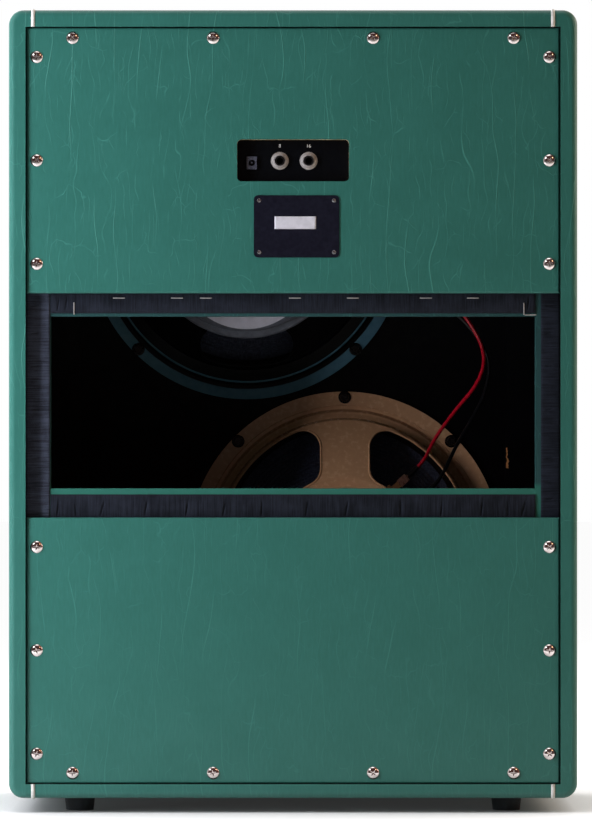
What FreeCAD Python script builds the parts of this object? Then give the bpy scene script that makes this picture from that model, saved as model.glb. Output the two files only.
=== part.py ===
"""A tall open-backed guitar speaker cabinet with two twelve-inch speakers, modelled as separate pieces.

Millimetres. +Z is up, +X is to the right as seen from behind, the open back faces -Y and the grille
faces +Y. The origin lies on the floor, under the middle of the cabinet.
"""

import FreeCAD
import Part
import Sketcher
import math
import os
import re

doc = FreeCAD.newDocument("speaker_cabinet")

# Driving sizes, in millimetres unless the note says otherwise.
SIZES = (
    ("cabinet_width", 536, "outside width over the covering"),
    ("cabinet_height", 743, "outside height without the feet"),
    ("cabinet_depth", 300, "outside depth over the covering"),
    ("board", 15, "thickness of the top and side boards"),
    ("floor_board", 12.5, "thickness of the bottom board"),
    ("vinyl", 0.9, "thickness of the vinyl covering"),
    ("corner_radius", 14, "outer corner radius seen from behind"),
    ("rim_radius", 6, "round-over of the rear and front rims"),
    ("finger_count", 7, "fingers of each corner joint, an odd count"),
    ("foot_height", 13.4, "height of a rubber foot"),
    ("foot_radius", 14.5, "radius of a foot at the top"),
    ("foot_taper", 1.5, "how much narrower the foot is at the floor"),
    ("foot_inset", 65.6, "foot centres from the side faces"),
    ("foot_setback", 45, "foot centres from the rear and front faces"),
    ("foot_bore", 4.2, "radius of the bore for a foot's screw head"),
    ("foot_shank", 2, "radius of a foot screw's shank"),
    ("foot_bite", 12, "how far a foot's screw runs into the board"),
    ("piping_bead", 4, "diameter of the piping"),
    ("piping_inset", 23, "piping centre from the side faces"),
    ("panel_board", 9, "thickness of a back panel's plywood"),
    ("panel_recess", 3, "back panel's face behind the rim"),
    ("panel_gap", 0.6, "gap round a back panel"),
    ("panel_height", 250.5, "height of a back panel"),
    ("panel_edge", 2, "round-over of a covered panel's edge"),
    ("screw_inset", 9.7, "panel screws from the panel's edge"),
    ("screw_pitch", 97.5, "distance between the side screws"),
    ("row_inset", 43.5, "outer screws of a row from the panel's side edges"),
    ("row_share", 0.3, "inner screws of a row, as a share of the panel's half width"),
    ("screw_head", 6, "radius of a panel screw's head"),
    ("screw_dome", 2.8, "height of a panel screw's head"),
    ("screw_shank", 2, "radius of a panel screw's shank"),
    ("screw_length", 28, "length of a panel screw's shank"),
    ("hole_fit", 0.15, "radial clearance of a shank in its hole"),
    ("cleat_width", 22, "width of a panel cleat"),
    ("cleat_depth", 20, "depth of a panel cleat"),
    ("brace_depth", 18, "depth of a cross brace"),
    ("brace_lap", 18, "how far a back panel laps over a brace"),
    ("upper_brace_show", 21.7, "height of the upper brace below the panel"),
    ("lower_brace_show", 27.3, "height of the lower brace above the panel"),
    ("wrap", 1, "thickness of the vinyl round cleats and braces"),
    ("strip", 1.5, "thickness of a seal strip"),
    ("left_margin", 0.6, "bare wrap beside the left strip"),
    ("right_margin", 5, "bare wrap beside the right strip"),
    ("upper_margin", 3, "bare wrap below the upper brace's strip"),
    ("lower_margin", 5.6, "bare wrap above the lower brace's strip"),
    ("recess_width", 105.5, "width of the jack cut-out"),
    ("recess_height", 39.5, "height of the jack cut-out"),
    ("recess_radius", 4, "corner radius of the jack cut-out"),
    ("plate_lap", 12, "jack plate beyond the cut-out"),
    ("plate_sheet", 2, "thickness of the jack plate"),
    ("jack_middle", 1.1, "middle of the two jacks, sideways"),
    ("jack_pitch", 27.2, "distance between the jacks"),
    ("jack_bore", 3.3, "radius of a jack's bore"),
    ("jack_bush", 4.7, "radius of a jack's threaded bush"),
    ("jack_length", 22, "length of a jack's body behind the plate"),
    ("jack_width", 16, "width of a jack's body"),
    ("jack_body_height", 26, "height of a jack's body"),
    ("bush_show", 0.8, "jack's bush beyond its nut"),
    ("lug_length", 9, "length of a jack's solder lugs"),
    ("lug_width", 4, "width of a solder lug"),
    ("lug_sheet", 1, "thickness of a solder lug"),
    ("lug_spread", 5, "lugs from the jack's middle, sideways"),
    ("lug_drop", 8, "lugs below the jack's middle"),
    ("nut_flange", 8.4, "radius of a jack nut's flange"),
    ("nut_ring", 7, "radius of a jack nut's ring"),
    ("nut_height", 3.6, "height of a jack nut with its flange"),
    ("dc_side", 39, "DC socket left of the middle"),
    ("dc_drop", 2, "DC socket below the jacks"),
    ("dc_width", 9.6, "width of the DC socket"),
    ("dc_height", 12, "height of the DC socket"),
    ("dc_front", 2.4, "DC socket's front in front of the plate"),
    ("dc_step", 1, "DC socket's body inside its front's edge"),
    ("dc_length", 14, "length of the DC socket's body"),
    ("dc_deep", 8, "depth of the DC socket's hole in its body"),
    ("dc_hole", 3, "radius of the DC socket's hole"),
    ("dc_pin", 1, "radius of the DC socket's pin"),
    ("rating_width", 80.5, "width of the rating plate"),
    ("rating_height", 58.6, "height of the rating plate"),
    ("rating_sheet", 0.8, "thickness of the rating plate"),
    ("rating_radius", 4, "corner radius of the rating plate"),
    ("rating_side", 3.3, "rating plate right of the middle"),
    ("rating_drop", 62.2, "rating plate below the panel's middle"),
    ("rivet_inset", 4.9, "rivets from the rating plate's edges"),
    ("rivet_radius", 1.9, "radius of a rivet's head"),
    ("baffle", 18, "thickness of the baffle board"),
    ("grille_recess", 20, "baffle's face behind the front rim"),
    ("cutout_radius", 141.5, "radius of a speaker cut-out"),
    ("baffle_cleat_width", 43, "width of a baffle cleat"),
    ("baffle_cleat_depth", 20, "depth of a baffle cleat"),
    ("grille_gap", 1.5, "gap round the grille frame"),
    ("grille_rail", 30, "width of the grille frame's rails"),
    ("grille_thick", 10, "thickness of the grille frame"),
    ("grille_pad", 2, "thickness of the hook-and-loop pads"),
    ("pad_size", 20, "side of a hook-and-loop pad"),
    ("cloth", 0.8, "thickness of the grille cloth"),
    ("handle_drop", 162.2, "handle centres below the inner roof"),
    ("handle_room", 21, "room between a handle's cut-out and the baffle cleats"),
    ("handle_height", 86, "height of a handle's cut-out"),
    ("handle_radius", 14, "corner radius of a handle's cut-out"),
    ("handle_depth", 46, "depth of a handle cup from the side"),
    ("handle_wall", 2.5, "wall of a handle cup"),
    ("handle_lip", 13, "flange of a handle cup round its cut-out"),
    ("handle_flange", 3, "thickness of a handle cup's sunk flange"),
    ("grip_radius", 8, "radius of a handle's grip bar"),
    ("small_head", 3.2, "radius of a black screw's head"),
    ("small_dome", 1.6, "height of a black screw's head"),
    ("small_shank", 1.4, "radius of a black screw's shank"),
    ("small_length", 9, "length of a black screw's shank"),
    ("drawn_half", 252.1, "inner half width that the speakers are drawn for"),
    ("drawn_height", 713.7, "inner height that the speakers are drawn for"),
    ("upper_room", 7.1, "room between the upper basket and the left baffle cleat"),
    ("upper_drop", 193.8, "upper speaker's axis below the inner roof"),
    ("lower_room", 4.3, "room between the lower basket and the right baffle cleat"),
    ("lower_rise", 217, "lower speaker's axis above the inner floor"),
    ("upper_flange", 156.5, "upper basket's flange radius"),
    ("lower_flange", 154, "lower basket's flange radius"),
    ("upper_magnet", 97.5, "upper magnet's radius"),
    ("lower_magnet", 60, "lower magnet's radius"),
    ("upper_bolts", 4, "bolts of the upper speaker, a count"),
    ("lower_bolts", 8, "bolts of the lower speaker, a count"),
    ("upper_turn", 45, "turn of the upper basket's spokes, degrees"),
    ("lower_turn", 0, "turn of the lower basket's spokes, degrees"),
    ("upper_strip_turn", 60, "upper terminal strip's direction, degrees"),
    ("lower_strip_turn", 42, "lower terminal strip's direction, degrees"),
    ("upper_bolt_circle", 151.5, "radius of the upper speaker's bolt circle"),
    ("lower_bolt_circle", 148.5, "radius of the lower speaker's bolt circle"),
    ("bolt_head", 4.6, "radius of a speaker bolt's head"),
    ("bolt_head_height", 4, "height of a speaker bolt's head"),
    ("bolt_shank", 2.5, "radius of a speaker bolt's shank"),
    ("bolt_bite", 14, "how far a speaker bolt runs into the baffle"),
    ("gasket", 2, "thickness of a speaker gasket"),
    ("gasket_inner", 139, "inner radius of a speaker gasket"),
    ("flange_sheet", 3, "thickness of a basket's flange"),
    ("flange_inner", 128, "inner radius of a basket's flange"),
    ("upper_groove", 146.5, "outer radius of the groove in the upper flange"),
    ("lower_groove", 140.5, "outer radius of the groove in the lower flange"),
    ("groove_width", 4.5, "width of the groove in a flange"),
    ("groove_deep", 1.4, "depth of the groove in a flange"),
    ("basket_rib", 4.5, "height of the rib inside the groove"),
    ("basket_sheet", 2, "sheet thickness of a basket"),
    ("window_outer", 124, "outer radius of a basket's windows"),
    ("window_inner", 71.5, "inner radius of a basket's windows"),
    ("window_radius", 17, "corner radius of a basket's windows"),
    ("press_bend", 2, "small bends of the pressed basket"),
    ("neck_bend", 4, "bend between the basket's ring and its neck"),
    ("upper_spoke", 70, "width of the upper basket's spokes"),
    ("lower_spoke", 47, "width of the lower basket's spokes"),
    ("shoulder_deep", 24, "depth of the basket at its windows' outer edge"),
    ("ring_deep", 62, "depth of the basket's inner ring"),
    ("neck_radius", 57, "radius of the basket's neck"),
    ("seat_deep", 80, "depth of the basket's seat on the top plate"),
    ("top_plate", 8, "thickness of a top plate"),
    ("magnet_thick", 22, "thickness of a magnet ring"),
    ("magnet_inner", 45, "inner radius of a magnet ring"),
    ("back_plate", 8, "thickness of a back plate"),
    ("plate_step", 6, "back plate's edge inside the magnet's"),
    ("top_plate_step", 5, "top plate's edge inside the magnet's"),
    ("pole", 24.4, "radius of a pole piece"),
    ("pole_drop", 1, "pole's tip behind the top plate's face"),
    ("coil_gap", 0.5, "clearance of the voice coil in its gap"),
    ("former", 0.4, "thickness of a voice coil's former"),
    ("winding", 0.8, "thickness of a voice coil's winding"),
    ("former_front", 49, "depth of a former's front edge"),
    ("former_rear", 92, "depth of a former's rear edge"),
    ("winding_height", 12, "height of a voice coil's winding"),
    ("cone_edge", 118, "outer radius of a cone"),
    ("cone_rim", 6, "width of a cone's flat rim"),
    ("cone_rim_deep", 3.4, "depth of a cone's flat rim"),
    ("cone_throat_deep", 53, "depth of a cone's throat"),
    ("cone_paper", 1, "thickness of a cone"),
    ("glue", 0.15, "glue line between a cone and what it carries"),
    ("cone_rib", 1.1, "height of a cone's ribs"),
    ("cone_ribs", 28, "half waves of a cone's ribs, a count"),
    ("cone_rib_start", 62, "radius where a cone's ribs start"),
    ("cap_radius", 38, "radius of a dust cap"),
    ("cap_sphere", 52, "radius of a dust cap's dome"),
    ("cap_paper", 0.8, "thickness of a dust cap"),
    ("surround_land", 8, "width of a surround's land on the flange"),
    ("surround_sheet", 0.6, "thickness of a surround"),
    ("surround_roll", 1.8, "height of a surround's rolls"),
    ("spider_land", 8, "width of a spider's land on the inner ring"),
    ("spider_inset", 3, "spider's edge inside the windows' inner edge"),
    ("spider_sheet", 0.6, "thickness of a spider"),
    ("spider_wave", 1.9, "height of a spider's waves"),
    ("soft_gap", 0.3, "clearance of surround and spider from what moves"),
    ("label_radius", 66, "radius of the magnet label"),
    ("label_drop", 23, "label's middle below the magnet's"),
    ("label_sheet", 0.4, "thickness of the magnet label"),
    ("terminal_length", 36, "length of a terminal strip"),
    ("terminal_width", 12, "width of a terminal strip"),
    ("terminal_sheet", 2, "thickness of a terminal strip"),
    ("terminal_radius", 62, "inner edge of a terminal strip from the axis"),
    ("tab_spread", 12, "tabs from the middle of a terminal strip"),
    ("tab_width", 6.3, "width of a tab"),
    ("tab_sheet", 0.8, "thickness of a tab"),
    ("tab_show", 17, "length of a tab beyond its strip"),
    ("spade_gap", 8, "gap between a strip and a spade terminal"),
    ("spade_length", 10, "length of a spade terminal's blade"),
    ("spade_wall", 0.7, "wall of a spade terminal"),
    ("spade_fit", 0.15, "clearance of a tab in its spade terminal"),
    ("barrel_length", 8, "length of a spade terminal's barrel"),
    ("barrel_radius", 2.3, "radius of a spade terminal's barrel"),
    ("wire_radius", 1.8, "radius of a wire over its insulation"),
    ("wire_slack", 100, "how far the lower wires stray from the straight way"),
    ("lug_lead", 20, "straight run of a wire at a jack's lug"),
    ("lower_lead", 15, "straight run of a wire at a lower spade terminal"),
    ("upper_lead", 22, "straight run of a wire at an upper spade terminal"),
)

# Sizes across a speaker, drawn smaller where the cabinet is too small for them.
ACROSS_SPEAKER = {
    "cutout_radius",
    "upper_flange",
    "lower_flange",
    "upper_magnet",
    "lower_magnet",
    "upper_bolt_circle",
    "lower_bolt_circle",
    "gasket_inner",
    "flange_inner",
    "upper_groove",
    "lower_groove",
    "window_outer",
    "window_inner",
    "upper_spoke",
    "lower_spoke",
    "neck_radius",
    "magnet_inner",
    "plate_step",
    "top_plate_step",
    "cone_edge",
    "cone_rib_start",
    "cap_radius",
    "cap_sphere",
    "label_radius",
    "label_drop",
    "terminal_radius",
}

# Places that several pieces share, worked out from the sizes.
PLACES = (
    ("rear", "-cabinet_depth/2"),
    ("front", "cabinet_depth/2"),
    ("roof", "foot_height + cabinet_height"),
    ("inner_half", "cabinet_width/2 - board - vinyl"),
    ("inner_floor", "foot_height + vinyl + floor_board"),
    ("inner_roof", "roof - vinyl - board"),
    ("finger", "cabinet_depth/finger_count"),
    ("seam", "cabinet_width/2 - piping_inset"),
    ("foot_spread", "cabinet_width/2 - foot_inset"),
    ("panel_half", "inner_half - panel_gap"),
    ("screw_row_outer", "panel_half - row_inset"),
    ("screw_row_inner", "panel_half*row_share"),
    ("panel_face", "rear + panel_recess"),
    ("panel_back", "panel_face + vinyl + panel_board"),
    ("strip_back", "panel_back + strip"),
    ("cleat_face", "strip_back + wrap"),
    ("upper_top", "inner_roof - panel_gap"),
    ("upper_bottom", "upper_top - panel_height"),
    ("upper_middle", "upper_top - panel_height/2"),
    ("lower_bottom", "inner_floor + panel_gap"),
    ("lower_top", "lower_bottom + panel_height"),
    ("lower_middle", "lower_bottom + panel_height/2"),
    ("bay_half", "inner_half - cleat_width - wrap"),
    ("upper_brace_low", "upper_bottom - upper_brace_show"),
    ("upper_brace_high", "upper_bottom + brace_lap"),
    ("lower_brace_low", "lower_top - brace_lap"),
    ("lower_brace_high", "lower_top + lower_brace_show"),
    ("plate_face", "panel_back"),
    ("plate_back", "plate_face + plate_sheet"),
    ("jack_rear", "plate_face - nut_height - bush_show"),
    ("dc_level", "upper_middle - dc_drop"),
    ("rating_level", "upper_middle - rating_drop"),
    ("baffle_front", "front - grille_recess"),
    ("baffle_rear", "baffle_front - baffle"),
    ("frame_rear", "baffle_front + grille_pad"),
    ("frame_front", "frame_rear + grille_thick"),
    ("frame_half", "inner_half - grille_gap"),
    ("frame_low", "inner_floor + grille_gap"),
    ("frame_high", "inner_roof - grille_gap"),
    ("handle_level", "inner_roof - handle_drop"),
    ("handle_length", "2*(baffle_rear - baffle_cleat_depth - handle_room)"),
    ("height_share", "(inner_roof - inner_floor)/drawn_height"),
    ("speaker_scale", "min(inner_half/drawn_half; height_share)"),
    ("cleat_inner", "inner_half - baffle_cleat_width"),
    ("upper_side", "upper_flange + upper_room - cleat_inner"),
    ("lower_side", "cleat_inner - lower_flange - lower_room"),
    ("upper_level", "inner_roof - upper_drop*height_share"),
    ("lower_level", "inner_floor + lower_rise*height_share"),
    ("flange_rear", "gasket + flange_sheet"),
    ("magnet_front", "seat_deep + top_plate"),
    ("magnet_rear", "magnet_front + magnet_thick"),
    ("yoke_rear", "magnet_rear + back_plate"),
    ("former_inner", "pole + coil_gap"),
    ("former_outer", "former_inner + former"),
    ("winding_outer", "former_outer + winding"),
    ("coil_hole", "winding_outer + coil_gap"),
    ("ring_front", "ring_deep - basket_sheet"),
    ("tab_rear", "ring_deep + terminal_sheet + tab_sheet"),
    ("strip_edge", "terminal_radius + terminal_width"),
    ("tab_reach", "strip_edge + tab_show"),
    ("spade_start", "strip_edge + spade_gap"),
    ("spade_end", "spade_start + spade_length"),
    ("barrel_end", "spade_end + barrel_length"),
)

sizes = doc.addObject("Spreadsheet::Sheet", "sizes")
places = doc.addObject("Spreadsheet::Sheet", "places")
SIZE_NAMES = {name for name, value, note in SIZES}
PLACE_NAMES = {name for name, text in PLACES}


def formula(text):
    """Point each named size or place in a formula at its cell."""

    def cell(match):
        word = match.group(0)
        if word in ACROSS_SPEAKER:
            return f"(sizes.{word}*places.speaker_scale)"
        if word in SIZE_NAMES:
            return "sizes." + word
        return "places." + word if word in PLACE_NAMES else word

    return re.sub(r"[a-z_]+", cell, str(text))


for row, (name, value, note) in enumerate(SIZES, start=1):
    sizes.set(f"A{row}", note)
    sizes.set(f"B{row}", str(value))
    sizes.setAlias(f"B{row}", name)
for row, (name, text) in enumerate(PLACES, start=1):
    places.set(f"A{row}", name)
    places.set(f"B{row}", "=" + formula(text))
    places.setAlias(f"B{row}", name)
doc.recompute()


def size(name):
    """The number in a named cell, at the speakers' scale where it goes across them."""
    sheet = sizes if name in SIZE_NAMES else places
    value = float(sheet.get(name))
    return value * float(places.get("speaker_scale")) if name in ACROSS_SPEAKER else value


NODES = []
ALONG_Y = FreeCAD.Rotation(FreeCAD.Vector(1, 0, 0), -90)
PAST = 5  # how far a cutting block runs past what it cuts


def node(part):
    """Mark an object as a finished sub-part, whose label names its file."""
    NODES.append(part)
    return part


def new(kind, label):
    part = doc.addObject(kind, label)
    part.Label = label
    return part


def place(part, x, y, z):
    for axis, text in zip("xyz", (x, y, z)):
        part.setExpression("Placement.Base." + axis, formula(text))
    return part


def box(label, x, y, z):
    """A block between three (low, high) pairs of formulas."""
    part = new("Part::Box", label)
    for (low, high), side in zip((x, y, z), ("Length", "Width", "Height")):
        part.setExpression(side, formula(f"({high}) - ({low})"))
    return place(part, x[0], y[0], z[0])


def rod(label, radius, y, x="0", z="0"):
    """A cylinder along Y between a (low, high) pair of formulas."""
    part = new("Part::Cylinder", label)
    part.setExpression("Radius", formula(radius))
    part.setExpression("Height", formula(f"({y[1]}) - ({y[0]})"))
    part.Placement = FreeCAD.Placement(FreeCAD.Vector(), ALONG_Y)
    return place(part, x, y[0], z)


def cut(label, base, *tools):
    for tool in tools[:-1]:
        base = cut(label + "_step", base, tool)
    part = new("Part::Cut", label)
    part.Base = base
    part.Tool = tools[-1]
    return part


def common(label, base, tool):
    part = new("Part::Common", label)
    part.Base = base
    part.Tool = tool
    return part


def fuse(label, *parts):
    part = new("Part::MultiFuse", label)
    part.Shapes = list(parts)
    return part


def fillet(label, base, radius, wanted):
    """Round the edges of base that wanted(edge) picks."""
    doc.recompute()
    part = new("Part::Fillet", label)
    part.Base = base
    edges = enumerate(base.Shape.Edges, start=1)
    part.Edges = [(index, radius, radius) for index, edge in edges if wanted(edge)]
    return part


def along_y(edge):
    return edge.BoundBox.XLength < 1e-6 and edge.BoundBox.ZLength < 1e-6


def along_x(edge):
    return edge.BoundBox.YLength < 1e-6 and edge.BoundBox.ZLength < 1e-6


def at_rear(y):
    """Picks the edges that lie in the plane at y."""
    return lambda edge: abs(edge.BoundBox.YMin - y) < 1e-4 and abs(edge.BoundBox.YMax - y) < 1e-4


def revolved(label, outline, plane="XY_Plane"):
    """A body turned about the second axis of its plane, from (radius, height) pairs of formulas."""
    body = new("PartDesign::Body", label)
    sketch = body.newObject("Sketcher::SketchObject", label + "_outline")
    base = next(part for part in body.Origin.OriginFeatures if part.Role == plane)
    sketch.AttachmentSupport = (base, [""])
    sketch.MapMode = "FlatFace"
    count = len(outline)
    turns = [2 * math.pi * index / count for index in range(count)]
    start = [FreeCAD.Vector(60 + 50 * math.cos(turn), 50 * math.sin(turn), 0) for turn in turns]
    for index in range(count):
        sketch.addGeometry(Part.LineSegment(start[index], start[(index + 1) % count]), False)
    for index in range(count):
        sketch.addConstraint(Sketcher.Constraint("Coincident", index, 2, (index + 1) % count, 1))
    for index, point in enumerate(outline):
        values = (start[index].x, start[index].y)
        for kind, value, text in zip(("DistanceX", "DistanceY"), values, point):
            number = sketch.addConstraint(Sketcher.Constraint(kind, -1, 1, index, 1, value))
            sketch.setExpression(f"Constraints[{number}]", formula(text))
    doc.recompute()
    turn = body.newObject("PartDesign::Revolution", label + "_turn")
    turn.Profile = sketch
    turn.ReferenceAxis = (sketch, ["V_Axis"])
    turn.Angle = 360
    return body


def group(label, blank, spots):
    """Copies of a blank at (x, y, z) spots, as separate solids of one sub-part."""
    doc.recompute()
    part = new("Part::Feature", label)
    part.Shape = Part.makeCompound([blank.Shape.translated(FreeCAD.Vector(*spot)) for spot in spots])
    return part


def joined(label, *parts):
    """Separate solids kept as one sub-part."""
    part = new("Part::Compound", label)
    part.Links = list(parts)
    return part


def rounded_block(label, inset):
    """The cabinet's outer form, set in on every side by a formula."""
    half = f"cabinet_width/2 - {inset}"
    block = box(
        label + "_block",
        ("-(" + half + ")", half),
        (f"rear + {inset}", f"front - {inset}"),
        (f"foot_height + {inset}", f"roof - {inset}"),
    )
    doc.recompute()
    depth = block.Width.Value
    corners = size("corner_radius") - (size("cabinet_depth") - depth) / 2
    rims = size("rim_radius") - (size("cabinet_depth") - depth) / 2
    tall = fillet(label + "_corners", block, corners, along_y)
    return fillet(label, tall, rims, lambda edge: edge.BoundBox.YLength < 1e-6)


def case_boards(form, inside, handle_holes):
    """Top, bottom and sides of plywood, joined by fingers at the corners."""
    shell = cut("case_shell", form, inside)
    wide = ("-cabinet_width", "cabinet_width")
    keep = [box("side_middle", wide, ("rear", "front"), ("inner_floor", "inner_roof"))]
    for index in range(1, int(size("finger_count")), 2):
        low = f"rear + finger*{index}"
        keep.append(box(f"finger_{index}", wide, (low, low + " + finger"), ("0", "roof + foot_height")))
    kept = fuse("side_fingers", *keep)
    full = (("rear", "front"), ("0", "roof + foot_height"))
    sides = {}
    for name, across in (
        ("left", ("-cabinet_width", "-inner_half")),
        ("right", ("inner_half", "cabinet_width")),
    ):
        zone = common(name + "_side_zone", shell, box(name + "_zone", across, *full))
        solid = common(name + "_side_solid", zone, kept)
        sides[name] = node(cut(name + "_side_board", solid, handle_holes))
    ends = {}
    for name, heights in (
        ("top", ("inner_roof", "roof + foot_height")),
        ("bottom", ("0", "inner_floor")),
    ):
        zone = common(name + "_end_zone", shell, box(name + "_zone", wide, ("rear", "front"), heights))
        ends[name] = cut(name + "_end", zone, sides["left"], sides["right"])
    node(ends["top"]).Label = "top_board"
    return ends["bottom"]


def coverings(outer, form, inside, handle_holes, foot_holes):
    """Vinyl over the boards: a wrap on each side, and a top and a bottom sheet between the seams."""
    skin = cut("vinyl_skin", outer, form, inside)
    full = ((f"rear - {PAST}", f"front + {PAST}"), ("0", "roof + foot_height"))
    for name, across in (
        ("left", ("-cabinet_width", "-(seam + piping_bead/2)")),
        ("right", ("seam + piping_bead/2", "cabinet_width")),
    ):
        wrap = common(name + "_wrap", skin, box(name + "_wrap_zone", across, *full))
        node(cut(name + "_covering", wrap, handle_holes))
    between = ("-(seam - piping_bead/2)", "seam - piping_bead/2")
    for name, heights in (("top", ("inner_roof", "roof + foot_height")), ("bottom", ("0", "inner_floor"))):
        zone = box(name + "_sheet_zone", between, (f"rear - {PAST}", f"front + {PAST}"), heights)
        sheet = common(name + "_sheet", skin, zone)
        if name == "top":
            sheet.Label = "top_covering"
            node(sheet)
        else:
            node(cut("bottom_covering", sheet, foot_holes))


def white_piping(form):
    """A round cord in each seam, over the rear and front rims, flattened where it lies on the board."""
    inset = size("vinyl")
    bend = size("rim_radius") - inset
    rear = size("rear") + inset
    front = size("front") - inset
    slant = bend * (1 - math.sqrt(0.5))
    cords = []
    for up, edge, end in (
        (1, size("roof") - inset, size("inner_roof")),
        (-1, size("foot_height") + inset, size("inner_floor")),
    ):
        for x in (-size("seam"), size("seam")):

            def at(y, z):
                return FreeCAD.Vector(x, y, z)

            rise = edge - up * bend
            path = Part.Wire(
                [
                    Part.LineSegment(at(rear, end), at(rear, rise)).toShape(),
                    Part.Arc(
                        at(rear, rise), at(rear + slant, edge - up * slant), at(rear + bend, edge)
                    ).toShape(),
                    Part.LineSegment(at(rear + bend, edge), at(front - bend, edge)).toShape(),
                    Part.Arc(
                        at(front - bend, edge), at(front - slant, edge - up * slant), at(front, rise)
                    ).toShape(),
                    Part.LineSegment(at(front, rise), at(front, end)).toShape(),
                ]
            )
            ring = Part.makeCircle(size("piping_bead") / 2, at(rear, end), FreeCAD.Vector(0, 0, 1))
            cords.append(path.makePipeShell([Part.Wire([ring])], True, False))
    cord = new("Part::Feature", "piping_cord")
    cord.Shape = Part.makeCompound(cords)
    node(cut("white_piping", cord, form))


def feet(bottom_end):
    """Tapered rubber feet with a sunk screw each, and the holes for the screws."""
    shank = "foot_shank"
    tip = "foot_height + vinyl + foot_bite"
    foot = revolved(
        "foot_blank",
        (
            (shank + " + hole_fit", "foot_height"),
            ("foot_radius", "foot_height"),
            ("foot_radius - foot_taper", "0"),
            ("foot_bore", "0"),
            ("foot_bore", "foot_height/2"),
            (shank + " + hole_fit", "foot_height/2"),
        ),
        "XZ_Plane",
    )
    screw = revolved(
        "foot_screw_blank",
        (
            ("0", "foot_height/2 - small_dome"),
            ("small_head", "foot_height/2 - small_dome/2"),
            ("small_head", "foot_height/2"),
            (shank, "foot_height/2"),
            (shank, tip),
            ("0", tip),
        ),
        "XZ_Plane",
    )
    hole = revolved(
        "foot_hole_blank",
        (
            ("0", "0"),
            (shank + " + hole_fit", "0"),
            (shank + " + hole_fit", tip + " + hole_fit"),
            ("0", tip + " + hole_fit"),
        ),
        "XZ_Plane",
    )
    reach = size("front") - size("foot_setback")
    spots = [(side * size("foot_spread"), end * reach, 0) for side in (-1, 1) for end in (-1, 1)]
    node(group("rubber_feet", foot, spots))
    node(group("foot_screws", screw, spots))
    holes = group("foot_holes", hole, spots)
    node(cut("bottom_board", bottom_end, holes))
    return holes


def panel_screw_spots():
    """Both panels' screws: three down each side, and a row along the outer edge."""
    side = size("panel_half") - size("screw_inset")
    face = size("panel_face")
    spots = []
    for middle, row in (
        (size("upper_middle"), size("upper_top") - size("screw_inset")),
        (size("lower_middle"), size("lower_bottom") + size("screw_inset")),
    ):
        for x in (-side, side):
            spots += [(x, face, middle + step * size("screw_pitch")) for step in (-1, 0, 1)]
        for x in (size("screw_row_outer"), size("screw_row_inner")):
            spots += [(-x, face, row), (x, face, row)]
    return spots


def panel_screws():
    """Domed screws through the back panels into the cleats, and the holes that they pass."""
    screw = revolved(
        "panel_screw_blank",
        (
            ("0", "-screw_dome"),
            ("screw_head*0.45", "-screw_dome*0.9"),
            ("screw_head*0.8", "-screw_dome*0.6"),
            ("screw_head", "-screw_dome*0.15"),
            ("screw_head", "0"),
            ("screw_shank", "0"),
            ("screw_shank", "screw_length - screw_shank"),
            ("0", "screw_length"),
        ),
    )
    node(group("panel_screws", screw, panel_screw_spots()))
    hole = rod("panel_hole_blank", "screw_shank + hole_fit", (f"-{PAST}", "screw_length + hole_fit"))
    return group("panel_holes", hole, panel_screw_spots())


def inner_frame(holes):
    """Cleats and braces behind the back panels, with their vinyl wraps and black seal strips."""
    deep = ("cleat_face", "cleat_face + cleat_depth")
    brace_deep = ("cleat_face", "cleat_face + brace_depth")
    tall = ("inner_floor", "inner_roof")
    bay = ("-bay_half", "bay_half")
    left = ("-inner_half", "-inner_half + cleat_width")
    right = ("inner_half - cleat_width", "inner_half")
    top = ("inner_roof - cleat_width", "inner_roof")
    bottom = ("inner_floor", "inner_floor + cleat_width")
    upper = ("upper_brace_low + wrap", "upper_brace_high")
    lower = ("lower_brace_low", "lower_brace_high - wrap")
    woods = {
        "left": box("left_cleat", left, deep, tall),
        "right": box("right_cleat", right, deep, tall),
        "top": box("top_cleat", bay, deep, top),
        "bottom": box("bottom_cleat", bay, deep, bottom),
        "upper": box("upper_brace_wood", bay, brace_deep, upper),
        "lower": box("lower_brace_wood", bay, brace_deep, lower),
    }
    cleats = joined("cleats_solid", *[woods[name] for name in ("left", "right", "top", "bottom")])
    node(cut("panel_cleats", cleats, holes))
    for name in ("upper", "lower"):
        woods[name].Label = name + "_brace"
        node(woods[name])

    skin = ("strip_back", deep[1])
    brace_skin = ("strip_back", brace_deep[1])
    outsides = {
        "left": box("left_wrap_block", (left[0], left[1] + " + wrap"), skin, tall),
        "right": box("right_wrap_block", (right[0] + " - wrap", right[1]), skin, tall),
        "top": box("top_wrap_block", bay, skin, (top[0] + " - wrap", top[1])),
        "bottom": box("bottom_wrap_block", bay, skin, (bottom[0], bottom[1] + " + wrap")),
        "upper": box("upper_wrap_block", bay, brace_skin, ("upper_brace_low", upper[1])),
        "lower": box("lower_wrap_block", bay, brace_skin, (lower[0], "lower_brace_high")),
    }
    wraps = [cut(name + "_wrap_sheet", outsides[name], woods[name]) for name in woods]
    node(cut("cleat_wraps", joined("wraps_solid", *wraps), holes))

    thick = ("panel_back", "strip_back")
    strips = [
        box("left_strip", ("-inner_half", "-bay_half - left_margin"), thick, tall),
        box("right_strip", ("bay_half + right_margin", "inner_half"), thick, tall),
        box("top_strip", bay, thick, top),
        box("bottom_strip", bay, thick, bottom),
        box("upper_strip", bay, thick, ("upper_brace_low + upper_margin", upper[1])),
        box("lower_strip", bay, thick, (lower[0], "lower_brace_high - lower_margin")),
    ]
    node(cut("seal_strips", joined("strips_solid", *strips), holes))


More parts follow.
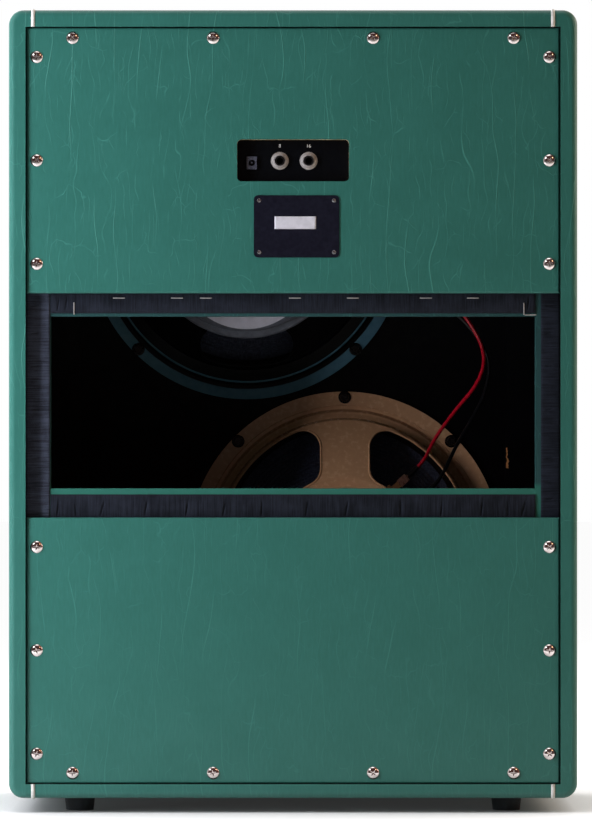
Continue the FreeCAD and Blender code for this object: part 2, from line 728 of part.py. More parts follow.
def back_panel(name, bottom, top, holes, recess=None):
    """A plywood panel in its own vinyl covering, which wraps round the panel's edges."""
    flush = at_rear(size("panel_face"))
    block = box(
        name + "_panel_block",
        ("-panel_half", "panel_half"),
        ("panel_face", "panel_back"),
        (bottom, top),
    )
    outside = fillet(name + "_panel_outside", block, size("panel_edge"), flush)
    wood = box(
        name + "_panel_wood",
        ("-panel_half + vinyl", "panel_half - vinyl"),
        ("panel_face + vinyl", "panel_back"),
        (bottom + " + vinyl", top + " - vinyl"),
    )
    ply_face = at_rear(size("panel_face") + size("vinyl"))
    core = fillet(name + "_panel_core", wood, size("panel_edge") - size("vinyl"), ply_face)
    tools = [holes] if recess is None else [holes, recess]
    node(cut(name + "_back_panel", core, *tools))
    node(cut(name + "_panel_covering", outside, core, *tools))


def recess_cutter():
    """The rounded cut-out in the upper panel, in front of the jack plate."""
    block = box(
        "recess_block",
        ("-recess_width/2", "recess_width/2"),
        (f"panel_face - {PAST}", f"panel_back + {PAST}"),
        ("upper_middle - recess_height/2", "upper_middle + recess_height/2"),
    )
    return fillet("recess_cutter", block, size("recess_radius"), along_y)


def jack_spots():
    return {
        "input_jack": "jack_middle - jack_pitch/2",
        "link_jack": "jack_middle + jack_pitch/2",
    }


def jack(name, x):
    """A jack socket: threaded bush through the plate, moulded body behind it, two solder lugs."""
    body = box(
        name + "_body",
        (f"{x} - jack_width/2", f"{x} + jack_width/2"),
        ("plate_back", "plate_back + jack_length"),
        ("upper_middle - jack_body_height/2", "upper_middle + jack_body_height/2"),
    )
    bush = rod(name + "_bush", "jack_bush", ("jack_rear", "plate_back"), x, "upper_middle")
    lug_y = ("plate_back + jack_length", "plate_back + jack_length + lug_length")
    lug_z = ("upper_middle - lug_drop - lug_sheet/2", "upper_middle - lug_drop + lug_sheet/2")
    lugs = []
    for side, middle in (("left", f"{x} - lug_spread"), ("right", f"{x} + lug_spread")):
        lug_x = (f"{middle} - lug_width/2", f"{middle} + lug_width/2")
        lugs.append(box(f"{name}_{side}_lug", lug_x, lug_y, lug_z))
    solid = fuse(name + "_solid", body, bush, *lugs)
    deep = (f"jack_rear - {PAST}", "plate_back + jack_length - plate_sheet")
    bore = rod(name + "_bore", "jack_bore", deep, x, "upper_middle")
    return node(cut(name, solid, bore))


def jack_nuts():
    """Round chrome nuts with thin flanges on the jacks' bushes."""
    hole = "jack_bush + hole_fit"
    blank = revolved(
        "jack_nut_blank",
        (
            (hole, "0"),
            ("nut_flange", "0"),
            ("nut_flange", "-nut_height*0.2"),
            ("nut_ring", "-nut_height*0.3"),
            ("nut_ring", "-nut_height*0.7"),
            ("nut_ring - nut_height*0.3", "-nut_height"),
            (hole, "-nut_height"),
        ),
    )
    start = size("jack_middle") - size("jack_pitch") / 2
    spots = [(start + step * size("jack_pitch"), size("plate_face"), size("upper_middle")) for step in (0, 1)]
    node(group("jack_nuts", blank, spots))


def jack_field():
    """The jack plate on the inside of the upper panel, with both jacks and the DC socket."""
    plate = box(
        "jack_plate_blank",
        ("-recess_width/2 - plate_lap", "recess_width/2 + plate_lap"),
        ("plate_face", "plate_back"),
        ("upper_middle - recess_height/2 - plate_lap", "upper_middle + recess_height/2 + plate_lap"),
    )
    around = (f"plate_face - {PAST}", f"plate_back + {PAST}")
    holes = [
        rod(name + "_hole", "jack_bush + hole_fit", around, x, "upper_middle")
        for name, x in jack_spots().items()
    ]
    for name, x in jack_spots().items():
        jack(name, x)
    dc_wide = ("-dc_side - dc_width/2", "-dc_side + dc_width/2")
    dc_tall = ("dc_level - dc_height/2", "dc_level + dc_height/2")
    dc_neck = ("-dc_side - dc_width/2 + dc_step", "-dc_side + dc_width/2 - dc_step")
    dc_slot = ("dc_level - dc_height/2 + dc_step", "dc_level + dc_height/2 - dc_step")
    dc_face = box("dc_face", dc_wide, ("plate_face - dc_front", "plate_face"), dc_tall)
    dc_body = box("dc_body", dc_neck, ("plate_face", "plate_face + dc_length"), dc_slot)
    deep = "plate_face + dc_deep"
    dc_bore = rod("dc_bore", "dc_hole", (f"plate_face - {PAST}", deep), "-dc_side", "dc_level")
    dc_pin = rod("dc_centre_pin", "dc_pin", ("plate_face - dc_front/2", deep), "-dc_side", "dc_level")
    hollow = cut("dc_hollow", fuse("dc_solid", dc_face, dc_body), dc_bore)
    node(fuse("dc_socket", hollow, dc_pin))
    slot = box(
        "dc_slot",
        (dc_neck[0] + " - hole_fit", dc_neck[1] + " + hole_fit"),
        around,
        (dc_slot[0] + " - hole_fit", dc_slot[1] + " + hole_fit"),
    )
    return cut("jack_plate_drilled", plate, *holes, slot)


def rating_plate():
    """A small bare plate with a rivet in each corner, on the upper panel's covering."""
    block = box(
        "rating_block",
        ("rating_side - rating_width/2", "rating_side + rating_width/2"),
        ("panel_face - rating_sheet", "panel_face"),
        ("rating_level - rating_height/2", "rating_level + rating_height/2"),
    )
    node(fillet("rating_plate", block, size("rating_radius"), along_y))
    rivet = revolved(
        "rivet_blank",
        (
            ("0", "-rivet_radius*0.5"),
            ("rivet_radius*0.7", "-rivet_radius*0.36"),
            ("rivet_radius", "0"),
            ("0", "0"),
        ),
    )
    across = size("rating_width") / 2 - size("rivet_inset")
    up = size("rating_height") / 2 - size("rivet_inset")
    middle = (size("rating_side"), size("panel_face") - size("rating_sheet"), size("rating_level"))
    spots = [(middle[0] + i * across, middle[1], middle[2] + j * up) for i in (-1, 1) for j in (-1, 1)]
    node(group("plate_rivets", rivet, spots))


def handle_block(label, x, inset, side):
    """A block on one side of the cabinet with the handle's rounded outline, set in by a formula."""
    across = x if side > 0 else (f"-({x[1]})", f"-({x[0]})")
    solid = box(
        label + "_block",
        across,
        (f"-handle_length/2 + ({inset})", f"handle_length/2 - ({inset})"),
        (
            f"handle_level - handle_height/2 + ({inset})",
            f"handle_level + handle_height/2 - ({inset})",
        ),
    )
    doc.recompute()
    radius = size("handle_radius") - (size("handle_length") - solid.Width.Value) / 2
    return fillet(label, solid, radius, along_x)


def handle_cutters():
    """The rounded holes for the handle cups in both sides, with rebates for their flanges."""
    cutters = []
    for name, side in (("left", -1), ("right", 1)):
        through = (f"inner_half - {PAST}", f"cabinet_width/2 + {PAST}")
        sunk = ("cabinet_width/2 - handle_flange", f"cabinet_width/2 + {PAST}")
        hole = handle_block(name + "_handle_hole", through, "0", side)
        rebate = handle_block(name + "_handle_rebate", sunk, "-handle_lip - hole_fit", side)
        cutters.append(fuse(name + "_handle_cutter", hole, rebate))
    return joined("handle_holes", *cutters)


def handle_cup(name, side):
    """A recessed cup with a flange let into the side and a fixed grip bar across its mouth."""
    face = "cabinet_width/2"
    bottom = "cabinet_width/2 - handle_depth"
    flange = handle_block(name + "_flange", (f"{face} - handle_flange", face), "-handle_lip", side)
    pan = handle_block(name + "_pan", (bottom, face), "hole_fit", side)
    space = (f"{bottom} + handle_wall", f"{face} + {PAST}")
    hollow = handle_block(name + "_hollow", space, "handle_wall", side)
    middle = "cabinet_width/2 - grip_radius"
    bar = rod(
        name + "_grip",
        "grip_radius",
        ("-handle_length/2 + handle_wall/2", "handle_length/2 - handle_wall/2"),
        middle if side > 0 else f"-({middle})",
        "handle_level + handle_height/4",
    )
    shell = cut(name + "_shell", fuse(name + "_cup_solid", flange, pan), hollow)
    return fuse(name + "_cup_with_grip", shell, bar)


def black_screws(drilled_plate, cups):
    """Small black screws of the jack plate and the handle cups, and the pieces that they hold."""
    outline = (
        ("0", "small_dome"),
        ("small_head*0.7", "small_dome*0.75"),
        ("small_head", "0"),
        ("small_shank", "0"),
        ("small_shank", "-small_length + small_shank"),
        ("0", "-small_length"),
    )
    screw = revolved("black_screw_blank", outline)
    hole = revolved(
        "black_hole_blank",
        (
            ("0", "small_dome + hole_fit"),
            ("small_head + hole_fit", "small_dome + hole_fit"),
            ("small_head + hole_fit", "0"),
            ("small_shank + hole_fit", "0"),
            ("small_shank + hole_fit", "-small_length - hole_fit"),
            ("0", "-small_length - hole_fit"),
        ),
    )
    doc.recompute()
    over = size("plate_lap") / 2
    across = size("recess_width") / 2 + over
    up = size("recess_height") / 2 + over
    turns = []
    for i in (-1, 1):
        for j in (-1, 1):
            at = FreeCAD.Vector(i * across, size("plate_back"), size("upper_middle") + j * up)
            turns.append(FreeCAD.Placement(at, FreeCAD.Rotation()))
    out = size("cabinet_width") / 2 - size("small_dome")
    along = size("handle_length") / 2 + size("handle_lip") / 2
    rise = size("handle_height") / 2 + size("handle_lip") / 2
    for side in (-1, 1):
        face = FreeCAD.Rotation(FreeCAD.Vector(0, 1, 0), FreeCAD.Vector(side, 0, 0))
        for i in (-1, 1):
            for j in (-1, 1):
                at = FreeCAD.Vector(side * out, i * along, size("handle_level") + j * rise)
                turns.append(FreeCAD.Placement(at, face))

    def copies(label, blank):
        part = new("Part::Feature", label)
        part.Shape = Part.makeCompound([blank.Shape.transformed(turn.Matrix) for turn in turns])
        return part

    node(copies("black_screws", screw))
    holes = copies("black_holes", hole)
    node(cut("jack_plate", drilled_plate, holes))
    for name, cup in cups.items():
        node(cut(name + "_handle_cup", cup, holes))
    return holes


def speaker_bolts():
    """Black bolts through the baskets' flanges and gaskets into the baffle, and their holes."""
    rear = "-(gasket + flange_sheet)"
    tip = "bolt_bite"
    bolt = revolved(
        "bolt_blank",
        (
            ("0", rear + " - bolt_head_height"),
            ("bolt_head*0.8", rear + " - bolt_head_height"),
            ("bolt_head", rear + " - bolt_head_height*0.6"),
            ("bolt_head", rear),
            ("bolt_shank", rear),
            ("bolt_shank", tip),
            ("0", tip),
        ),
    )
    hole = rod("bolt_hole_blank", "bolt_shank + hole_fit", (f"{rear} - {PAST}", tip + " + hole_fit"))
    spots = []
    for name in ("upper", "lower"):
        count = int(size(name + "_bolts"))
        for index in range(count):
            turn = math.radians(size(name + "_turn") + 360 * index / count)
            x = size(name + "_side") + size(name + "_bolt_circle") * math.cos(turn)
            z = size(name + "_level") + size(name + "_bolt_circle") * math.sin(turn)
            spots.append((x, size("baffle_rear"), z))
    node(group("speaker_bolts", bolt, spots))
    return group("bolt_holes", hole, spots)


def front_pieces(bolt_holes):
    """The baffle with its cut-outs and cleats, and the grille frame with its cloth and pads."""
    board = box(
        "baffle_blank",
        ("-inner_half", "inner_half"),
        ("baffle_rear", "baffle_front"),
        ("inner_floor", "inner_roof"),
    )
    through = (f"baffle_rear - {PAST}", f"baffle_front + {PAST}")
    rounds = [
        rod(name + "_cutout", "cutout_radius", through, name + "_side", name + "_level")
        for name in ("upper", "lower")
    ]
    node(cut("baffle_board", board, *rounds, bolt_holes))
    deep = ("baffle_rear - baffle_cleat_depth", "baffle_rear")
    tall = ("inner_floor", "inner_roof")
    left = box("left_baffle_cleat", ("-inner_half", "-inner_half + baffle_cleat_width"), deep, tall)
    right = box("right_baffle_cleat", ("inner_half - baffle_cleat_width", "inner_half"), deep, tall)
    node(joined("baffle_cleats", left, right))

    thick = ("frame_rear", "frame_front")
    frame = box("frame_block", ("-frame_half", "frame_half"), thick, ("frame_low", "frame_high"))
    window = box(
        "frame_window",
        ("-frame_half + grille_rail", "frame_half - grille_rail"),
        (f"frame_rear - {PAST}", f"frame_front + {PAST}"),
        ("frame_low + grille_rail", "frame_high - grille_rail"),
    )
    node(cut("grille_frame", frame, window))
    node(
        box(
            "grille_cloth",
            ("-frame_half", "frame_half"),
            ("frame_front", "frame_front + cloth"),
            ("frame_low", "frame_high"),
        )
    )
    pad = box("pad_blank", ("-pad_size/2", "pad_size/2"), ("0", "grille_pad"), ("-pad_size/2", "pad_size/2"))
    side = size("frame_half") - size("grille_rail") / 2
    low = size("frame_low") + size("grille_rail") / 2
    high = size("frame_high") - size("grille_rail") / 2
    heights = (low, (low + high) / 2, high)
    spots = [(x, size("baffle_front"), z) for x in (-side, side) for z in heights]
    node(group("grille_pads", pad, spots))


def basket(name, bolt_holes):
    """A pressed-steel basket: grooved flange, ribbed shoulder, four spokes with windows between, neck."""
    flange = name + "_flange"
    groove = name + "_groove"
    back = "-flange_rear"
    steel = "basket_sheet"
    body = revolved(
        name + "_basket_shell",
        (
            (flange, "-gasket"),
            (flange, back),
            (groove, back),
            (f"{groove} - groove_deep/2", back + " + groove_deep"),
            (f"{groove} - groove_width + groove_deep/2", back + " + groove_deep"),
            (f"{groove} - groove_width", back),
            (f"{groove} - groove_width - press_bend", back + " - basket_rib"),
            (f"{groove} - groove_width - 2*press_bend", back + " - basket_rib - press_bend/2"),
            ("flange_inner", back + " - basket_rib - 2*press_bend"),
            ("window_outer + press_bend", "-shoulder_deep"),
            ("window_inner", "-ring_deep + press_bend/2"),
            ("window_inner - press_bend", "-ring_deep"),
            ("neck_radius + neck_bend", "-ring_deep"),
            ("neck_radius", "-ring_deep - neck_bend"),
            ("neck_radius - press_bend", "-seat_deep"),
            ("coil_hole + neck_bend", "-seat_deep"),
            ("coil_hole + neck_bend", f"-seat_deep + {steel}"),
            (f"neck_radius - press_bend - {steel}", f"-seat_deep + {steel}"),
            (f"neck_radius - {steel}", f"-ring_deep - neck_bend + {steel}"),
            (f"neck_radius + neck_bend - {steel}", "-ring_front"),
            (f"window_inner - press_bend - {steel}/2", "-ring_front"),
            (f"window_inner - {steel}/2", "-ring_front + press_bend/2"),
            (f"window_outer + press_bend - {steel}", f"-shoulder_deep + {steel}/2"),
            (f"flange_inner - {steel}", back + " - basket_rib - 2*press_bend"),
            (f"flange_inner - {steel}", "-gasket"),
        ),
    )
    reach = (f"-ring_deep - {PAST}", "-flange_rear - basket_rib")
    outer = rod(name + "_window_outer", "window_outer", reach)
    inner = rod(name + "_window_inner", "window_inner", (f"{reach[0]} - {PAST}", f"{reach[1]} + {PAST}"))
    ring = cut(name + "_window_ring", outer, inner)
    turn = FreeCAD.Rotation(FreeCAD.Vector(0, 1, 0), -size(name + "_turn"))
    half = size(name + "_spoke") / 2
    long = size("window_outer") + PAST
    spokes = []
    for part, x, z in (("spokes_across", long, half), ("spokes_up", half, long)):
        bar = new("Part::Box", f"{name}_{part}")
        bar.Length = 2 * x
        bar.Height = 2 * z
        bar.setExpression("Width", formula(f"({reach[1]}) - ({reach[0]}) + {2 * PAST}"))
        bar.Placement = FreeCAD.Placement(turn.multVec(FreeCAD.Vector(-x, 0, -z)), turn)
        bar.setExpression("Placement.Base.y", formula(f"{reach[0]} - {PAST}"))
        spokes.append(bar)
    sectors = cut(name + "_window_sectors", ring, *spokes)
    windows = fillet(name + "_windows", sectors, size("window_radius"), along_y)
    open_shell = cut(name + "_basket_open", body, windows)
    place(open_shell, name + "_side", "baffle_rear", name + "_level")
    return node(cut(name + "_basket", open_shell, bolt_holes))


def gaskets(bolt_holes):
    """A ring of gasket between each flange and the baffle."""
    rings = []
    for name in ("upper", "lower"):
        outline = (
            ("gasket_inner", "0"),
            (name + "_flange", "0"),
            (name + "_flange", "-gasket"),
            ("gasket_inner", "-gasket"),
        )
        ring = revolved(name + "_gasket", outline)
        rings.append(place(ring, name + "_side", "baffle_rear", name + "_level"))
    node(cut("speaker_gaskets", joined("gaskets_solid", *rings), bolt_holes))


def seat(part, name):
    """Set a piece of a speaker on that speaker's axis, measured from the baffle's rear face."""
    return node(place(part, name + "_side", "baffle_rear", name + "_level"))


def cone(name):
    """A paper cone with concentric ribs and a flat rim."""
    throat = "(former_outer + glue)"
    rim = "(cone_edge - cone_rim)"
    slope = f"(cone_throat_deep - cone_rim_deep)/({rim} - {throat})"
    ribs = int(size("cone_ribs"))
    face = [(throat, "cone_throat_deep")]
    for step in range(ribs):
        radius = f"(cone_rib_start + ({rim} - cone_rib_start)*{step}/{ribs})"
        lift = "cone_rib" if step % 2 else "0"
        face.append((radius, f"cone_throat_deep - {slope}*({radius} - {throat}) - {lift}"))
    face += [(rim, "cone_rim_deep"), ("cone_edge", "cone_rim_deep")]
    front = [(radius, f"-({deep})") for radius, deep in face]
    rear = [(radius, f"-({deep}) - cone_paper") for radius, deep in reversed(face)]
    return seat(revolved(name + "_cone", front + rear), name)


def dust_cap(name):
    """A thin dome over the voice coil, glued to the cone's face."""
    throat = "(former_outer + glue)"
    slope = f"(cone_throat_deep - cone_rim_deep)/(cone_edge - cone_rim - {throat})"
    rim = f"(-cone_throat_deep + {slope}*(cap_radius - {throat}) + glue)"
    middle = f"{rim} - sqrt(cap_sphere*cap_sphere - cap_radius*cap_radius)"
    spheres = []
    for part, radius in (("outer", "cap_sphere"), ("inner", "cap_sphere - cap_paper")):
        ball = new("Part::Sphere", f"{name}_cap_{part}")
        ball.setExpression("Radius", formula(radius))
        spheres.append(place(ball, "0", middle, "0"))
    shell = cut(name + "_cap_shell", *spheres)
    front = rod(name + "_cap_front", f"cap_radius + {PAST}", (rim, f"{rim} + cap_sphere"))
    return seat(common(name + "_dust_cap", shell, front), name)


def voice_coil(name):
    """A former tube with its winding, hanging in the gap between pole and top plate."""
    low = "-seat_deep - top_plate/2 - winding_height/2"
    high = "-seat_deep - top_plate/2 + winding_height/2"
    outline = (
        ("former_inner", "-former_front"),
        ("former_outer", "-former_front"),
        ("former_outer", high),
        ("winding_outer", high),
        ("winding_outer", low),
        ("former_outer", low),
        ("former_outer", "-former_rear"),
        ("former_inner", "-former_rear"),
    )
    return seat(revolved(name + "_voice_coil", outline), name)


def surround(name):
    """A cloth surround with two rolls, from the cone's rim to the flange."""
    rolls = 2
    steps = 16
    inner = "cone_rim_deep - soft_gap"
    line = [("cone_edge - cone_rim + glue", inner)]
    for step in range(steps + 1):
        share = step / steps
        lift = abs(math.sin(rolls * math.pi * share))
        radius = f"cone_edge + (flange_inner - cone_edge)*{share}"
        line.append((radius, f"({inner})*{1 - share} + gasket*{share} - surround_roll*{lift:.4f}"))
    line.append(("flange_inner + surround_land", "gasket"))
    rear = [(radius, f"-({deep})") for radius, deep in line]
    front = [(radius, f"-({deep}) + surround_sheet") for radius, deep in reversed(line)]
    return seat(revolved(name + "_surround", rear + front), name)


def spider(name):
    """A waved cloth disc that centres the voice coil on the basket's inner ring."""
    waves = 4
    steps = 32
    outer = "(window_inner - spider_inset - spider_land)"
    inner = "(former_outer + soft_gap)"
    line = []
    for step in range(steps + 1):
        share = step / steps
        wave = 0.5 - 0.5 * math.cos(2 * math.pi * waves * share)
        line.append((f"{inner} + ({outer} - {inner})*{share}", f"ring_front - spider_wave*{wave:.4f}"))
    line.append((outer + " + spider_land", "ring_front"))
    rear = [(radius, f"-({deep})") for radius, deep in line]
    front = [(radius, f"-({deep}) + spider_sheet") for radius, deep in reversed(line)]
    return seat(revolved(name + "_spider", rear + front), name)


def motors():
    """Top plates, magnet rings and back plates with their poles."""
    tops = []
    yokes = []
    bevel = 1.5
    for name in ("upper", "lower"):
        edge = name + "_magnet"
        spot = (name + "_side", "baffle_rear", name + "_level")
        top_edge = f"{edge} - top_plate_step"
        top = (
            ("coil_hole", "-seat_deep"),
            (top_edge, "-seat_deep"),
            (top_edge, "-magnet_front"),
            ("coil_hole", "-magnet_front"),
        )
        tops.append(place(revolved(name + "_top_plate", top), *spot))
        ring = (
            ("magnet_inner", "-magnet_front"),
            (f"{edge} - {bevel}", "-magnet_front"),
            (edge, f"-magnet_front - {bevel}"),
            (edge, f"-magnet_rear + {bevel}"),
            (f"{edge} - {bevel}", "-magnet_rear"),
            ("magnet_inner", "-magnet_rear"),
        )
        node(place(revolved(name + "_magnet_ring", ring), *spot)).Label = edge
        yoke_edge = f"{edge} - plate_step"
        yoke = (
            ("0", "-seat_deep - pole_drop"),
            ("pole", "-seat_deep - pole_drop"),
            ("pole", "-magnet_rear"),
            (yoke_edge, "-magnet_rear"),
            (yoke_edge, f"-yoke_rear + {bevel}"),
            (f"{yoke_edge} - {bevel}", "-yoke_rear"),
            ("0", "-yoke_rear"),
        )
        yokes.append(place(revolved(name + "_yoke", yoke), *spot))
    node(joined("top_plates", *tops))
    node(joined("magnet_yokes", *yokes))
    node(
        rod(
            "magnet_label",
            "label_radius",
            ("baffle_rear - yoke_rear - label_sheet", "baffle_rear - yoke_rear"),
            "upper_side",
            "upper_level - label_drop",
        )
    )


def terminals():
    """A terminal strip with two tabs on each basket's inner ring, and spade terminals on the tabs."""
    strips = []
    spades = []
    tab_front = "-ring_deep - terminal_sheet"
    tab_back = "-tab_rear"
    axis_y = f"({tab_front} + {tab_back})/2"
    for name in ("upper", "lower"):
        turn = FreeCAD.Rotation(FreeCAD.Vector(0, 1, 0), -size(name + "_strip_turn"))

        def aim(part):
            part.Placement = FreeCAD.Placement(FreeCAD.Vector(), turn)
            return place(part, name + "_side", "baffle_rear", name + "_level")

        board = box(
            name + "_strip_board",
            ("terminal_radius", "terminal_radius + terminal_width"),
            (tab_front, "-ring_deep"),
            ("-terminal_length/2", "terminal_length/2"),
        )
        tabs = []
        for side, word in (("", "first"), ("-", "second")):
            middle = f"{side}tab_spread"

            def across(half):
                return (f"{middle} - ({half})", f"{middle} + ({half})")

            reach = ("terminal_radius + terminal_width/2", "tab_reach")
            tabs.append(box(f"{name}_{word}_tab", reach, (tab_back, tab_front), across("tab_width/2")))
            sleeve = box(
                f"{name}_{word}_sleeve",
                ("spade_start", "spade_end"),
                (f"{tab_back} - spade_fit - spade_wall", f"{tab_front} + spade_fit + spade_wall"),
                across("tab_width/2 + spade_fit + spade_wall"),
            )
            slot = box(
                f"{name}_{word}_slot",
                (f"spade_start - {PAST}", "tab_reach + spade_fit"),
                (f"{tab_back} - spade_fit", f"{tab_front} + spade_fit"),
                across("tab_width/2 + spade_fit"),
            )
            barrel = new("Part::Cylinder", f"{name}_{word}_barrel")
            barrel.setExpression("Radius", formula("barrel_radius"))
            barrel.setExpression("Height", formula("barrel_end - spade_end"))
            barrel.Placement = FreeCAD.Placement(
                FreeCAD.Vector(), FreeCAD.Rotation(FreeCAD.Vector(0, 1, 0), 90)
            )
            place(barrel, "spade_end", axis_y, middle)
            hollow = cut(f"{name}_{word}_hollow", sleeve, slot)
            spades.append(aim(fuse(f"{name}_{word}_spade", hollow, barrel)))
        strips.append(aim(fuse(name + "_terminal_strip", board, *tabs)))
    node(joined("terminal_strips", *strips))
    node(joined("spade_terminals", *spades))


# The turns of each wire: the share of the straight way from its lug to its spade terminal, and the
# distances beside that way along X, Y and Z, in lengths of the wires' slack.
LOWER_RED_RUN = (
    (0.1, 0.059, 0.189, 0.06),
    (0.21, 0.265, 0.082, 0.082),
    (0.33, 0.521, -0.1, 0.111),
    (0.44, 0.767, -0.286, 0.113),
    (0.54, 0.933, -0.378, 0.076),
    (0.62, 0.99, -0.34, 0.022),
    (0.71, 0.866, -0.236, 0.017),
    (0.8, 0.593, -0.113, 0.021),
    (0.91, 0.279, -0.009, 0.043),
)
LOWER_BLACK_RUN = (
    (0.09, 0.006, 0.174, 0.038),
    (0.19, 0.176, 0.093, 0.029),
    (0.31, 0.421, -0.029, 0.09),
    (0.42, 0.698, -0.136, 0.141),
    (0.53, 0.935, -0.243, 0.172),
    (0.63, 1.025, -0.295, 0.143),
    (0.71, 0.891, -0.196, 0.063),
    (0.8, 0.635, -0.093, 0.054),
    (0.89, 0.368, 0.021, 0.055),
)
UPPER_RED_RUN = (
    (0.26, -0.003, 0.127, 0.089),
    (0.52, 0.139, 0.072, 0.371),
    (0.68, 0.226, 0.109, 0.48),
    (0.8, 0.228, 0.167, 0.435),
)
UPPER_BLACK_RUN = (
    (0.26, 0.009, 0.127, 0.06),
    (0.51, 0.166, 0.087, 0.316),
    (0.68, 0.252, 0.109, 0.442),
    (0.79, 0.254, 0.183, 0.413),
)


def route(jack_side, lug_side, speaker, tab_side, run):
    """A wire's corner points, from a jack's lug over the turns of its run to a spade terminal's barrel."""
    across_jacks = size("jack_middle") + jack_side * size("jack_pitch") / 2
    start = FreeCAD.Vector(
        across_jacks + lug_side * size("lug_spread"),
        size("plate_back") + size("jack_length") + size("lug_length"),
        size("upper_middle") - size("lug_drop"),
    )
    turn = math.radians(size(speaker + "_strip_turn"))
    outward = FreeCAD.Vector(math.cos(turn), 0, math.sin(turn))
    across = FreeCAD.Vector(-math.sin(turn), 0, math.cos(turn))
    axis = FreeCAD.Vector(
        size(speaker + "_side"),
        size("baffle_rear") - size("tab_rear") + size("tab_sheet") / 2,
        size(speaker + "_level"),
    )
    end = axis + outward * size("barrel_end") + across * (tab_side * size("tab_spread"))
    turns = [
        start + (end - start) * share + FreeCAD.Vector(*beside) * size("wire_slack") for share, *beside in run
    ]
    lead = start + FreeCAD.Vector(0, size("lug_lead"), 0)
    return [start, lead, *turns, end + outward * size(speaker + "_lead"), end]


def wire(label, points):
    """A round tube along straight runs joined by arcs, each as large as its two runs allow."""
    edges = []
    radii = []
    last = points[0]
    for before, corner, after in zip(points, points[1:], points[2:]):
        into = (corner - before).normalize()
        out = (after - corner).normalize()
        half_turn = into.getAngle(out) / 2
        reach = 0.45 * min((corner - before).Length, (after - corner).Length)
        radius = reach / math.tan(half_turn)
        radii.append(radius)
        start = corner - into * reach
        end = corner + out * reach
        sag = radius * (1 / math.cos(half_turn) - 1)
        middle = corner + (out - into).normalize() * sag
        edges.append(Part.LineSegment(last, start).toShape())
        edges.append(Part.Arc(start, middle, end).toShape())
        last = end
    edges.append(Part.LineSegment(last, points[-1]).toShape())
    path = Part.Wire(edges)
    radius = size("wire_radius")
    ring = Part.Wire([Part.makeCircle(radius, points[0], points[1] - points[0])])
    tube = path.makePipeShell([ring], True, False)
    whole = math.pi * radius * radius * path.Length
    print(f"{label}: radii {[round(value) for value in radii]}, length {path.Length:.0f},"
          f" volume ratio {tube.Volume / whole:.4f}")
    return tube


def wires():
    """Red and black wires from the jacks to both speakers."""
    for label, routes in (
        ("lower_red_wire", (route(1, 1, "lower", 1, LOWER_RED_RUN),)),
        ("lower_black_wire", (route(1, -1, "lower", -1, LOWER_BLACK_RUN),)),
        (
            "upper_wires",
            (
                route(-1, -1, "upper", 1, UPPER_RED_RUN),
                route(-1, 1, "upper", -1, UPPER_BLACK_RUN),
            ),
        ),
    ):
        part = node(new("Part::Feature", label))
        tubes = [wire(label, points) for points in routes]
        part.Shape = tubes[0] if len(tubes) == 1 else Part.makeCompound(tubes)


def build():
    outer = rounded_block("outer_form", "0")
    form = rounded_block("board_form", "vinyl")
    inside = box(
        "inside",
        ("-inner_half", "inner_half"),
        (f"rear - {PAST}", f"front + {PAST}"),
        ("inner_floor", "inner_roof"),
    )
    cutters = handle_cutters()
    cups = {name: handle_cup(name, side) for name, side in (("left", -1), ("right", 1))}
    recess = recess_cutter()
    black_holes = black_screws(jack_field(), cups)
    sunk = joined("side_cutters", cutters, black_holes)
    bottom_end = case_boards(form, inside, sunk)
    foot_holes = feet(bottom_end)
    coverings(outer, form, inside, sunk, foot_holes)
    white_piping(form)
    holes = panel_screws()
    inner_frame(holes)
    back_panel("upper", "upper_bottom", "upper_top", joined("upper_cutters", holes, black_holes), recess)
    back_panel("lower", "lower_bottom", "lower_top", holes)
    jack_nuts()
    rating_plate()
    bolt_holes = speaker_bolts()
    front_pieces(bolt_holes)
    gaskets(bolt_holes)
    motors()
    terminals()
    for name in ("upper", "lower"):
        basket(name, bolt_holes)
        cone(name)
        dust_cap(name)
        voice_coil(name)
        surround(name)
        spider(name)
    wires()
    doc.recompute()


def write():
    """Check every object, then write each sub-part to its file."""
    for part in doc.Objects:
        bad = {"Invalid", "Error"} & set(part.State)
        if bad:
            raise RuntimeError(f"{part.Label} is {part.State}")
    for part in NODES:
        if part.Shape.isNull() or not part.Shape.isValid() or not part.Shape.Solids:
            raise RuntimeError(f"{part.Label} has no valid solid")
    os.makedirs("parts", exist_ok=True)
    for part in NODES:
        part.Shape.exportStep(f"parts/{part.Label}.step")
    print(f"{len(NODES)} sub-parts written")


build()
write()
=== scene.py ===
# %% [markdown]
# # A guitar speaker cabinet, seen from behind
# The solids of the cabinet come ready packed, in metres, each where it belongs. They could be copied
# and changed here, but then they would no longer agree with the model that moves in the simulator. So
# this lesson only dresses them: it gives each solid a finish, and lays finer pieces over a few of them.

import math

